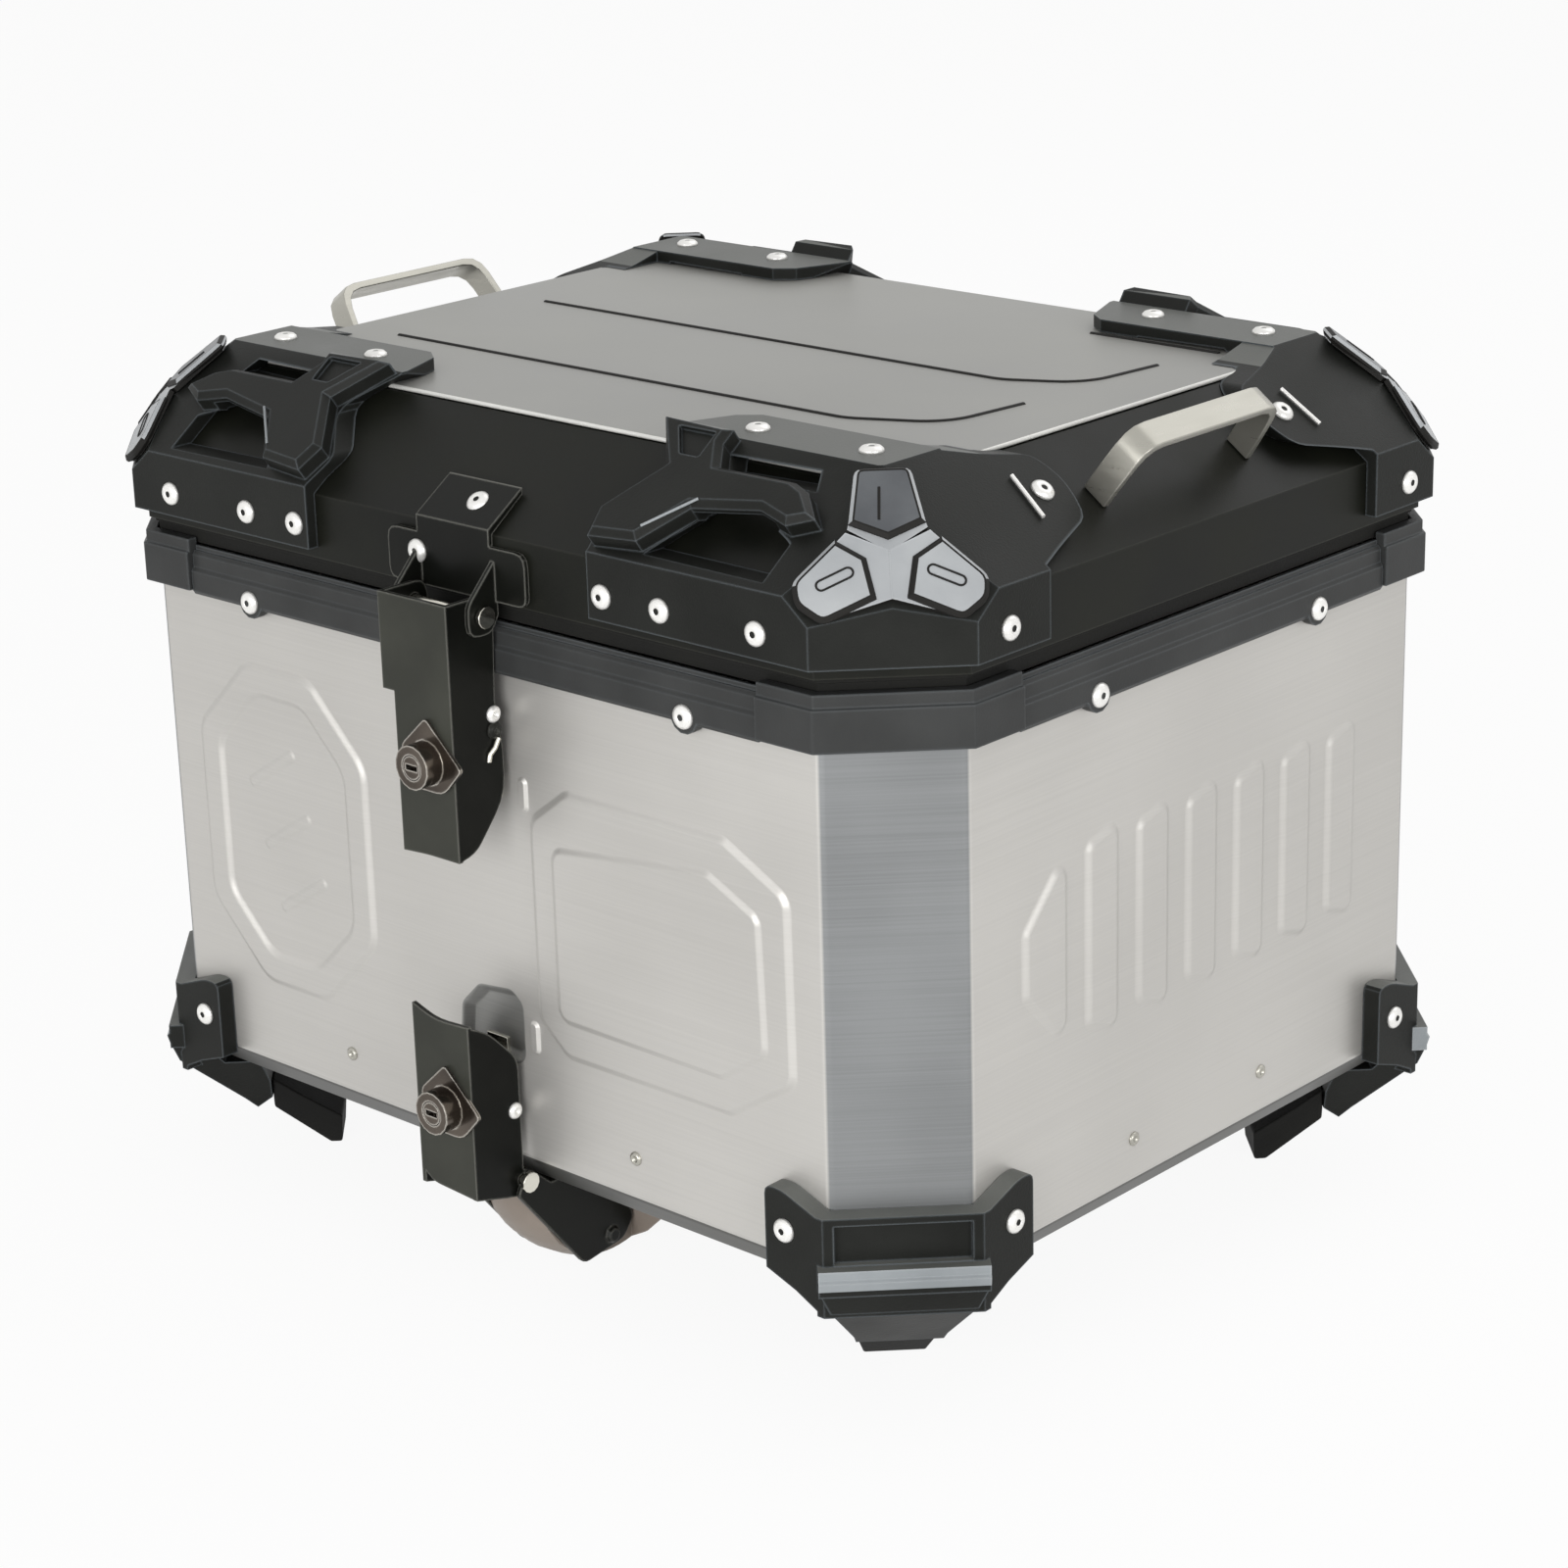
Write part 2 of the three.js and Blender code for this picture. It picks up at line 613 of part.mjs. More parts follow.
// Flat top panel with its pressed lines, each a run along x that bends rearwards
function topPanel() {
  const low = TOP_Z - PANEL_T;
  const plate = hip(lidSkin(0), low, TOP_Z);
  const halfX = HALF_W + LID_PROUD - LID_INSET;
  const halfY = HALF_D + LID_PROUD - LID_INSET;
  const lines = LINES.map((points) => pressedLine(points.map(([a, b]) => [a * halfX, b * halfY])));
  return join(plate, ...lines);
}

function pressedLine(points) {
  const path = new THREE.CurvePath();
  const at = ([x, y]) => new THREE.Vector3(x, y, TOP_Z);
  if (points.length === 2) {
    path.add(new THREE.LineCurve3(at(points[0]), at(points[1])));
  } else {
    const [start, bend, corner, end] = points;
    path.add(new THREE.LineCurve3(at(start), at(bend)));
    path.add(new THREE.QuadraticBezierCurve3(at(bend), at([corner[0], bend[1]]), at(corner)));
    path.add(new THREE.LineCurve3(at(corner), at(end)));
  }
  const section = new THREE.Shape([
    new THREE.Vector2(-LINE_PROUD, 0),
    new THREE.Vector2(0.5, -LINE_W / 2),
    new THREE.Vector2(0.5, LINE_W / 2),
  ]);
  return solid(new THREE.ExtrudeGeometry(section, { steps: 24, extrudePath: path }));
}

// Sealing bead: it sits inside the lid's skirt and rests on the body's rim
function seal() {
  const low = BODY_H + GAP;
  const neck = LID_Z - 2;
  const beadTop = LID_Z + 2.5;
  const bead = (offset, from, to) => cut(
    loft([wallRing(offset, from), wallRing(offset, to)]),
    loft([wallRing(-SEAL_W, from - 1), wallRing(-SEAL_W, to + 1)]),
  );
  return join(bead(-0.5, low, neck + 0.2), bead(LID_PROUD - LID_WALL - GAP, neck, beadTop));
}

// Upper corner guard. Its shell follows the lid's corner. Two outlines, seen from the front and from
// the side, trim it, and a bevelled bridge carries the tie-down bar over two openings.
const guardSkin = { wall: ARMOUR_PROUD, slope: SLOPE_RISE, facet: FACET_RISE };
const guardLow = LID_Z + GUARD_LIFT;
const guardFold = FOLD_Z + SLOPE_RISE - (ARMOUR_PROUD - LID_PROUD) * SLOPE;
const guardTop = TOP_Z + FLANGE_RISE;
const armX = FLAT_W - GUARD_ARM;
const sideAt = (inwards) => inwards - FLAT_D;

// Frame of the guard's front slope: x along it, y up it, z out of it, from the fold.
const slopeLength = Math.hypot(1, SLOPE) / SLOPE;
const frontSlope = frameAt([0, FRONT - ARMOUR_PROUD, guardFold], [1, 0, 0], [0, 1, SLOPE]);

// The guard's corner has three facets that meet in one point: the crown above and two cheeks. Each
// frame starts there, with x across and y up its facet.
const apex = [LID_FACE - APEX_IN, 0, FOLD_Z + APEX_UP];
const crownFrame = diagonal.clone().multiply(frameAt(apex, [0, 1, 0], [-1, 0, FACET_SLOPE]));

function cheekFrame(side) {
  const out = new THREE.Vector3(CHEEK_SLOPE, 0, 1).normalize();
  const across = new THREE.Vector3(0, 1, 0).addScaledVector(out, -side * CHEEK_TURN);
  return diagonal.clone().multiply(frameAt(apex, across.toArray(), [-1, 0, CHEEK_SLOPE]));
}

function upperGuard() {
  const skin = hip(guardSkin, guardLow, guardTop);
  const lid = hip(lidSkin(GAP), LID_Z - 1, TOP_Z + GAP);
  const cheeks = [-1, 1].map((side) => box(-60, 60, -60, 60, 0, 60, cheekFrame(side)));
  const shell = cut(skin, lid, ...cheeks);
  const back = FRONT + LID_INSET - LID_PROUD + FLANGE_W;
  const arm = rounded([
    [armX, guardLow],
    [BEYOND, guardLow],
    [BEYOND, BEYOND],
    [armX - 4, BEYOND],
    [armX - 4, guardTop - 1],
    [armX + 14, guardFold + 22, 6],
    [armX - 3, guardFold + 9, 3],
    [armX, guardFold + 1],
  ]);
  arm.holes.push(rounded([
    [armX + 31, guardTop - 4.6], [armX + 73, guardTop - 4.1], [armX + 77, guardTop - 9.4],
    [armX + 36.5, guardTop - 10.2],
  ]));
  arm.holes.push(rounded([
    [armX + 25, guardFold + 2.4], [armX + 37, guardFold + 13.4], [armX + 66, guardFold + 16.6],
    [armX + 79, guardFold + 13], [armX + 86, guardFold + 10.5], [armX + 83, guardFold + 2],
  ]));
  const fromFront = prism(arm, 'y', -BEYOND, back);
  const plan = prism([
    [armX - 10, -BEYOND], [BEYOND, -BEYOND], [BEYOND, 0], [armX + 13, 0], [armX + 13, back],
    [armX + 5, back - 6], [armX - 4, back - 28],
  ], 'z', 0, BEYOND);
  const web = rounded([
    [-BEYOND, guardLow],
    [sideAt(17), guardLow],
    [sideAt(17), guardFold - 3, 5],
    [sideAt(49), guardFold + 4.5, 12],
    [sideAt(71), guardFold + 9, 8],
    [sideAt(76), guardFold + 19, 8],
    [sideAt(72), guardFold + 27, 4],
    [sideAt(49), guardFold + 31, 6],
    [sideAt(33), guardTop],
    [sideAt(33), BEYOND],
    [-BEYOND, BEYOND],
  ]);
  const fromSide = prism(web, 'x', HALF_W - LID_INSET - 8, BEYOND);
  const mask = join(fromFront.intersect(plan), fromSide);
  const tunnel = box(armX + 37, armX + 73, 20, 44, -SLOPE_RISE - 2, LOOP_PROUD - LOOP_T, frontSlope);
  const rivets = [
    ...[7, 35, 80].map((x) => rivetOnFront(armX + x, ARMOUR_PROUD, guardLow + 9.2)),
    rivetOnSide(sideAt(13.5), ARMOUR_PROUD, guardLow + 9.2),
    ...[26, 79].map((x) => rivet([armX + x, back - 17, guardTop], [1, 0, 0], [0, 1, 0])),
    rivet(sideSlopePoint(sideAt(62), 18), [0, 1, 0], [-1, 0, SLOPE], 2),
  ];
  return join(cut(join(shell.intersect(mask), bridge()), lid, tunnel), ...rivets);
}

// Point on the guard's right slope, at a height above its fold.
function sideSlopePoint(y, up) {
  return [HALF_W + ARMOUR_PROUD - up / SLOPE, y, guardFold + up];
}

// Bridge on the front slope: a leg from the fold, a neck to the flange and the tie-down bar.
function bridge() {
  const top = (guardTop - guardFold) * slopeLength;
  const outline = [
    [armX + 2, 3], [armX + 24, 5], [armX + 37, 23], [armX + 66, 28], [armX + 80, 24],
    [armX + 90, 29], [armX + 80, 39], [armX + 72, 42], [armX + 37, 42], [armX + 31, 52],
    [armX + 31, top - 1], [armX - 2, top - 1], [armX + 14, 38], [armX - 1, 15],
  ];
  const frame = frontSlope.clone().multiply(new THREE.Matrix4().makeTranslation(0, 0, -1));
  const block = raised(outline, LOOP_BEVEL, LOOP_BEVEL, frame, LOOP_PROUD - LOOP_BEVEL + 1);
  const pocket = rounded([
    [armX + 9, top - 5, 1], [armX + 18, 43, 1], [armX + 27, 43, 1], [armX + 27, top - 5, 1],
  ]);
  return cut(block, prism(pocket, 'z', LOOP_PROUD - 2, LOOP_PROUD + 5, frontSlope));
}

// Trim on a guard's corner: a thin base over its three facets and a tile on each.
function cornerTrim() {
  const crown = [[-9.5, 34, 3], [9.5, 34, 3], [13, 10.8], [0, 4.2], [-13, 10.8]];
  const cheek = [[17.7, 5.4], [7.5, -1.7], [4.8, -16.4], [23.4, -24.2, 3], [32.3, -16.8, 3], [33, -8.6, 3]];
  const crownBase = [[-8, 32.5, 2], [8, 32.5, 2], [13.5, 9], [0, -0.6], [-13.5, 9]];
  const cheekBase = [[14, 8], [-0.6, 0.6], [-0.6, -16.5], [22.5, -22.5], [30.8, -16], [31.5, -9]];
  const mirrored = (outline) => outline.map(([a, b, r]) => [-a, b, r]);
  const plates = [
    [crownFrame, crown, crownBase],
    [cheekFrame(1), cheek, cheekBase],
    [cheekFrame(-1), mirrored(cheek), mirrored(cheekBase)],
  ];
  return join(...plates.map(([frame, tile, base]) => {
    const place = frame.clone().multiply(new THREE.Matrix4().makeTranslation(0, 0, GAP + TRIM_BASE));
    return join(
      prism(base, 'z', GAP, GAP + TRIM_BASE + 0.5, frame),
      raised(tile, TILE_BEVEL, TILE_BEVEL, place, TILE_T - TILE_BEVEL),
    );
  }));
}

// Handle: a flat strap bent into a low bow on the lid's right slope.
function handle() {
  const frame = frameAt([HALF_W + LID_PROUD, 0, FOLD_Z], [0, 1, 0], [-1, 0, SLOPE]);
  const bow = (inset) => {
    const half = HANDLE_SPAN / 2 - inset;
    const rise = HANDLE_RISE - inset;
    const bend = HANDLE_BEND - inset;
    return [
      [half, 0], [half - 1, rise * 0.35, bend * 0.4], [half - HANDLE_TAPER, rise, bend * 0.7],
      [HANDLE_TAPER - half, rise, bend * 0.7], [1 - half, rise * 0.35, bend * 0.4], [-half, 0],
    ];
  };
  const outer = bow(0).map(([a, b, r]) => [a, b + GAP, r]);
  const inner = bow(STRAP_T).map(([a, b, r]) => [a, b + GAP - (b === 0 ? 1 : 0), r]);
  const strap = frame.clone().multiply(frameAt([0, HANDLE_UP + STRAP_W / 2, 0], [1, 0, 0], [0, 0, 1]));
  return cut(prism(outer, 'z', 0, STRAP_W, strap), prism(inner, 'z', -1, STRAP_W + 1, strap));
}

// Hole for a latch's pin, at (y, z), between two places along x.
const pinHole = (y, z, from, to) => rod('x', y, z, from, to, PIN_R + PIN_PLAY);

// Hasp: a channel of bent sheet, hung on a pin through its flanges. The upper hasp's left flange
// steps in below the rim band.
const plateY = FRONT - HASP_PROUD;
const upperPivotY = FRONT - UPPER_PIVOT_OUT;
const lowerPivotY = FRONT - LOWER_PIVOT_OUT;
const backY = FRONT - HASP_BACK;

function upperHasp() {
  const [left, right] = [LATCH_X - UPPER_HASP_W / 2, LATCH_X + UPPER_HASP_W / 2];
  const low = left + UPPER_STEP;
  const top = UPPER_PIVOT_Z + UPPER_TOP;
  const plate = prism([
    [left, UPPER_STEP_Z], [left, top], [right, top], [right, UPPER_BOTTOM], [low + 13, UPPER_BOTTOM, 8],
    [low, UPPER_BOTTOM - 1],
    [low, UPPER_STEP_Z - 3],
  ], 'y', plateY, plateY + SHEET);
  const clearY = FRONT - STRIP_PROUD - 1.8;
  const flange = rounded([
    [plateY, UPPER_BOTTOM], [plateY + 9, UPPER_BOTTOM + 2, 4], [backY, UPPER_BOTTOM + 20, 10],
    [backY, UPPER_BOTTOM + 38], [clearY, UPPER_STEP_Z - 6], [upperPivotY + LUG_R, UPPER_PIVOT_Z - 4],
    [upperPivotY + LUG_R - 1, UPPER_PIVOT_Z + LUG_R, 5], [plateY + 5, top, 3], [plateY, top],
  ]);
  const rightFlange = prism(flange, 'x', right - SHEET, right);
  const above = (z) => box(-BEYOND, BEYOND, -BEYOND, BEYOND, z, BEYOND);
  const leftUpper = prism(flange, 'x', left, left + SHEET).intersect(above(UPPER_STEP_Z - 3));
  const leftLower = prism(flange, 'x', low, low + SHEET).subtract(above(UPPER_STEP_Z - 1));
  const shelf = box(left, low + SHEET, plateY, clearY - 1, UPPER_STEP_Z - 3, UPPER_STEP_Z - 3 + SHEET);
  const channel = join(plate, rightFlange, leftUpper, leftLower, shelf);
  return cut(
    channel,
    pinHole(upperPivotY, UPPER_PIVOT_Z, left - 1, right + 1),
    rod('y', UPPER_LOCK_X, UPPER_LOCK_Z, plateY - 1, plateY + SHEET + 1, NECK_R + GAP),
  );
}

function lowerHasp() {
  const [left, right] = [LOWER_X - LOWER_HASP_W / 2, LOWER_X + LOWER_HASP_W / 2];
  const foot = LOWER_PIVOT_Z;
  const plate = prism([
    [left, foot + 6, 4], [left, LOWER_TOP_Z + 3], [left + 12, LOWER_TOP_Z - 1, 6], [right, LOWER_TOP_Z],
    [right, foot - 0.5],
    [left + 6, foot + 1, 4],
  ], 'y', plateY, plateY + SHEET);
  const flange = rounded([
    [plateY, LOWER_TOP_Z], [plateY + 10, LOWER_TOP_Z - 5, 6], [backY, LOWER_TOP_Z - 20, 5],
    [backY, foot + 4], [lowerPivotY + LUG_R - 1, foot + 2, 3], [lowerPivotY + 2, foot - LUG_R, 5],
    [lowerPivotY - 8, foot - 5, 3], [plateY, foot - 0.5],
  ]);
  const sides = [left, right - SHEET].map((x) => prism(flange, 'x', x, x + SHEET));
  return cut(
    join(plate, ...sides),
    pinHole(lowerPivotY, foot, left - 1, right + 1),
    rod('y', LOWER_LOCK_X, LOWER_LOCK_Z, plateY - 1, plateY + SHEET + 1, NECK_R + GAP),
  );
}

// Pin with a head at each end, through the two ears of a bracket.
function latchPin(y, z, earL, earR) {
  const left = earL - SHEET - GAP;
  const right = earR + SHEET + GAP;
  return join(
    rod('x', y, z, left - 1, right + 1, PIN_R, 12),
    rod('x', y, z, left - SHEET, left, PIN_HEAD_R, 12),
    rod('x', y, z, right, right + SHEET, PIN_HEAD_R, 12),
  );
}

// Bracket on the lid's front: a folded plate on skirt and slope, with two ears for the pin.
const upperEarL = LATCH_X - UPPER_HASP_W / 2 - GAP;
const upperEarR = LATCH_X + UPPER_HASP_W / 2 + GAP;

function upperBracket() {
  const lidY = FRONT - LID_PROUD - GAP;
  const half = BRACKET_W / 2;
  const low = LID_Z + 1;
  const wings = prism([
    [LATCH_X - half, low, 4], [LATCH_X + half, low, 4], [LATCH_X + half, FOLD_Z - 4, 5],
    [LATCH_X - half, FOLD_Z - 4, 5],
  ], 'y', lidY - SHEET, lidY);
  const rise = 16;
  const tab = prism([
    [lidY - SHEET, low], [lidY, low], [lidY, FOLD_Z + GAP], [lidY + rise, FOLD_Z + GAP + rise * SLOPE],
    [lidY + rise, FOLD_Z + GAP + rise * SLOPE + SHEET * 1.2], [lidY - SHEET, FOLD_Z + GAP + SHEET],
  ], 'x', LATCH_X - 20, LATCH_X + 18);
  const ear = rounded([
    [lidY - 1, FOLD_Z - 8], [lidY - 1, UPPER_PIVOT_Z - 1], [upperPivotY + 4, UPPER_PIVOT_Z - LUG_R, 3],
    [upperPivotY - LUG_R, UPPER_PIVOT_Z - LUG_R, 5],
    [upperPivotY - LUG_R, UPPER_PIVOT_Z + 5, 3],
  ]);
  const ears = [
    prism(ear, 'x', upperEarL - SHEET, upperEarL),
    prism(ear, 'x', upperEarR, upperEarR + SHEET),
  ];
  const rivets = [
    rivet([LATCH_X - 20, lidY - SHEET, LID_Z + 13.5], [1, 0, 0], [0, 0, 1]),
    rivet([LATCH_X + 3, lidY + 8, FOLD_Z + GAP + 8 * SLOPE + 2.2], [1, 0, 0], [0, 1, SLOPE]),
  ];
  const hole = pinHole(upperPivotY, UPPER_PIVOT_Z, upperEarL - 5, upperEarR + 5);
  return cut(join(wings, tab, ...ears, ...rivets), hole);
}

// Bracket under the front edge: a plate below the tub and two arms that carry pin and dish.
const lowerEarL = LOWER_X - LOWER_HASP_W / 2 - GAP;
const lowerEarR = LOWER_X + LOWER_HASP_W / 2 + GAP;

function lowerBracket() {
  const arm = rounded([
    [lowerPivotY - 5, LOWER_PIVOT_Z - 5, 2], [lowerPivotY + 1, LOWER_PIVOT_Z + LUG_R - 2, 3],
    [FRONT + TUCK_IN - 1.5, -TUCK_H - GAP], [FRONT + 36, -TUCK_H - GAP],
    [FRONT + ARM_REACH, 11 - ARM_DROP, 3], [FRONT + ARM_REACH - 6, 3 - ARM_DROP, 3],
    [FRONT + ARM_REACH - 28, -ARM_DROP, 3],
  ]);
  const arms = [
    prism(arm, 'x', lowerEarL - SHEET, lowerEarL),
    prism(arm, 'x', lowerEarR, lowerEarR + SHEET),
  ];
  const plate = box(
    lowerEarL - SHEET, lowerEarR + SHEET, FRONT + TUCK_IN + 2, FRONT + 36,
    -TUCK_H - GAP - SHEET, -TUCK_H - GAP,
  );
  const rivets = [rivet([lowerEarR + SHEET, FRONT + ARM_REACH - 12.5, 7 - ARM_DROP], [0, 1, 0], [0, 0, 1])];
  const hole = pinHole(lowerPivotY, LOWER_PIVOT_Z, lowerEarL - 5, lowerEarR + 5);
  return cut(join(...arms, plate, ...rivets), hole);
}

// Bowl under the case, where a carrier plate takes hold. Its front is as wide as the gap between
// the bracket's arms, and it is hollow and open above.
function bowl(inset, lift) {
  const steps = 7;
  const [radius, depth] = [DISH_R - inset, DISH_H - inset];
  const profile = [new THREE.Vector2(0, -depth)];
  for (let i = steps - 1; i >= 0; i -= 1) {
    const turn = (Math.PI / 2) * (i / steps);
    profile.push(new THREE.Vector2(radius * Math.cos(turn), -depth * Math.sin(turn)));
  }
  profile.push(new THREE.Vector2(radius, lift), new THREE.Vector2(0, lift));
  const spun = new THREE.LatheGeometry(profile, 28).rotateX(Math.PI / 2);
  spun.translate(LOWER_X, FRONT + DISH_IN, -TUCK_H - SHEET - 2 * GAP);
  const front = FRONT + ARM_REACH + GAP + inset;
  const beside = (from, to) => box(from, to, -BEYOND, front, -BEYOND, 0);
  return cut(
    solid(spun),
    beside(-BEYOND, lowerEarL + GAP + inset),
    beside(lowerEarR - GAP - inset, BEYOND),
  );
}

function releaseDish() {
  return cut(bowl(0, 0.1), bowl(DISH_WALL, 1));
}

// Lock: a barrel with a flange on the hasp's plate, and a plug with its cam behind.
function lockBarrel(x, z) {
  const front = plateY - BARREL_PROUD;
  const barrel = rod('y', x, z, front, plateY - GAP, BARREL_R);
  const flange = prism(rounded([
    [x, z + FLANGE_R + 3, 2], [x - FLANGE_R, z + 4, 3], [x - 8, z - FLANGE_R + 3, 4],
    [x + 8, z - FLANGE_R + 3, 4], [x + FLANGE_R + 4, z, 2],
  ]), 'y', plateY - GAP - 1.5, plateY - GAP);
  const neck = rod('y', x, z, plateY - 1, plateY + SHEET + NECK_L, NECK_R);
  return cut(join(barrel, flange, neck), rod('y', x, z, front - 1, FRONT, PLUG_R + GAP));
}

function lockPlug(x, z) {
  const back = plateY + SHEET + NECK_L + GAP;
  const plug = rod('y', x, z, plateY - BARREL_PROUD, back + CAM_T, PLUG_R);
  const cam = prism([
    [x + 4, z + 4.5, 2], [x - CAM_L, z + 3.5, 2], [x - CAM_L, z - 3.5, 2], [x + 4, z - 4.5, 2],
  ], 'y', back, back + CAM_T);
  const keyway = box(x - 3, x + 3, plateY - BARREL_PROUD - 1, plateY - BARREL_PROUD + 4, z - 1, z + 1);
  return cut(join(plug, cam), keyway);
}

// Striker on the tub's front: a hook whose lip the cam turns behind. `toLock` is +1 or -1 along z.
function striker(x, lockZ, toLock) {
  const camFront = plateY + SHEET + NECK_L + GAP;
  const lipY = camFront - GAP - SHEET;
  const shelf = lockZ - toLock * (CAM_L + 0.6);
  const wallY = FRONT - GAP;
  const hook = [
    [wallY, shelf - toLock * STRIKER_H], [wallY, shelf], [lipY + SHEET, shelf],
    [lipY + SHEET, shelf + toLock * 5.5], [lipY, shelf + toLock * 5.5], [lipY, shelf - toLock * SHEET],
    [wallY - SHEET, shelf - toLock * SHEET], [wallY - SHEET, shelf - toLock * STRIKER_H],
  ];
  return prism(hook, 'x', x - STRIKER_W / 2, x + STRIKER_W / 2);
}

// Piano hinge: knuckles take turns on one pin
const hingeY = HALF_D + HINGE_OUT;
const knuckleL = HINGE_W / KNUCKLES;

function knuckles(parity) {
  const bodies = [];
  for (let i = parity; i < KNUCKLES; i += 2) {
    const from = -HINGE_W / 2 + i * knuckleL + GAP / 2;
    bodies.push(rod('x', hingeY, HINGE_Z, from, from + knuckleL - GAP, KNUCKLE_R, 14));
  }
  return bodies;
}

function hingeLeaf(parity, web, plate) {
  const arms = [];
  for (let i = parity; i < KNUCKLES; i += 2) {
    const from = -HINGE_W / 2 + i * knuckleL + GAP / 2;
    arms.push(prism(web, 'x', from, from + knuckleL - GAP));
  }
  const whole = join(plate, ...arms, ...knuckles(parity));
  return cut(whole, rod('x', hingeY, HINGE_Z, -HINGE_W, HINGE_W, PIN_R + 2 * PIN_PLAY, 14));
}

function bodyLeaf() {
  const wall = HALF_D + STRIP_PROUD + GAP;
  const low = STRIP_Z + 1;
  const high = HINGE_Z - KNUCKLE_R - 1.5;
  const plate = box(-HINGE_W / 2, HINGE_W / 2, wall, wall + SHEET, low, high);
  const web = [
    [wall, high - 3], [wall + SHEET, high - 3], [hingeY + 2, HINGE_Z - KNUCKLE_R + 0.6],
    [hingeY - 2, HINGE_Z - KNUCKLE_R + 2], [wall, high],
  ];
  return hingeLeaf(0, web, plate);
}

function lidLeaf() {
  const wall = HALF_D + LID_PROUD + GAP;
  const low = HINGE_Z + KNUCKLE_R + 1.5;
  const plate = box(-HINGE_W / 2, HINGE_W / 2, wall, wall + SHEET, low, FOLD_Z - 3);
  const web = [
    [wall, low], [hingeY - 2, HINGE_Z + KNUCKLE_R - 2], [hingeY + 2, HINGE_Z + KNUCKLE_R - 0.6],
    [wall + SHEET, low + 4], [wall, low + 4],
  ];
  return hingeLeaf(1, web, plate);
}

// Assembly: one group for each body that moves
const topCase = new THREE.Group();
const body = new THREE.Group();
const lid = new THREE.Group();
const latches = new THREE.Group();

body.add(
  piece('body_shell', bodyShell(), 'aluminium'),
  piece('floor_mat', floorMat(), 'rubber'),
  ...rimStrips(),
  ...fourCorners('rim_corner', rimCorner(), 'plastic'),
  ...fourCorners('lower_guard', lowerGuard(), 'plastic'),
  ...fourCorners('foot_pad', footPad(), 'rubber'),
  piece('lower_bracket', lowerBracket(), 'steel'),
  piece('lower_latch_pin', latchPin(lowerPivotY, LOWER_PIVOT_Z, lowerEarL, lowerEarR), 'chrome'),
  piece('release_dish', releaseDish(), 'dish'),
  piece('upper_striker', striker(UPPER_LOCK_X, UPPER_LOCK_Z, 1), 'chrome'),
  piece('lower_striker', striker(LOWER_LOCK_X, LOWER_LOCK_Z, -1), 'chrome'),
  piece('hinge_leaf_body', bodyLeaf(), 'steel'),
  piece('hinge_pin', rod('x', hingeY, HINGE_Z, -HINGE_W / 2 - 1, HINGE_W / 2 + 1, PIN_R, 14), 'chrome'),
);

const handleRight = geometryOf(handle());
lid.add(
  piece('lid_shell', lidShell(), 'black'),
  piece('top_panel', topPanel(), 'panel'),
  piece('lid_seal', seal(), 'rubber'),
  ...fourCorners('upper_guard', upperGuard(), 'plastic'),
  ...fourCorners('corner_trim', cornerTrim(), 'tile'),
  piece('handle_right', handleRight, 'chrome'),
  piece('handle_left', atCorner(handleRight, -1, 1), 'chrome'),
  piece('hinge_leaf_lid', lidLeaf(), 'steel'),
  piece('upper_bracket', upperBracket(), 'steel'),
  piece('upper_latch_pin', latchPin(upperPivotY, UPPER_PIVOT_Z, upperEarL, upperEarR), 'chrome'),
);

latches.add(
  piece('upper_hasp', upperHasp(), 'steel'),
  piece('upper_lock_barrel', lockBarrel(UPPER_LOCK_X, UPPER_LOCK_Z), 'chrome'),
  piece('upper_lock_plug', lockPlug(UPPER_LOCK_X, UPPER_LOCK_Z), 'chrome'),
  piece('lower_hasp', lowerHasp(), 'steel'),
  piece('lower_lock_barrel', lockBarrel(LOWER_LOCK_X, LOWER_LOCK_Z), 'chrome'),
  piece('lower_lock_plug', lockPlug(LOWER_LOCK_X, LOWER_LOCK_Z), 'chrome'),
);

topCase.add(body, lid, latches);
const bounds = new THREE.Box3().setFromObject(topCase);
const middle = bounds.getCenter(new THREE.Vector3());
topCase.position.set(-middle.x, -middle.y, -bounds.min.z);

export default topCase;
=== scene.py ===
# %% [markdown]
# # A motorcycle top case
# This notebook dresses a finished CAD model of an aluminium top case. The CAD gives every size and
# every joint. What is added here is what the eye needs: soft pressed reliefs, rounded edges,
# brushed metal, grained plastic, rivets with real heads, and soft light.

# %% Load the frame
import json
import math

import bmesh
import bpy
from mathutils import Matrix, Vector

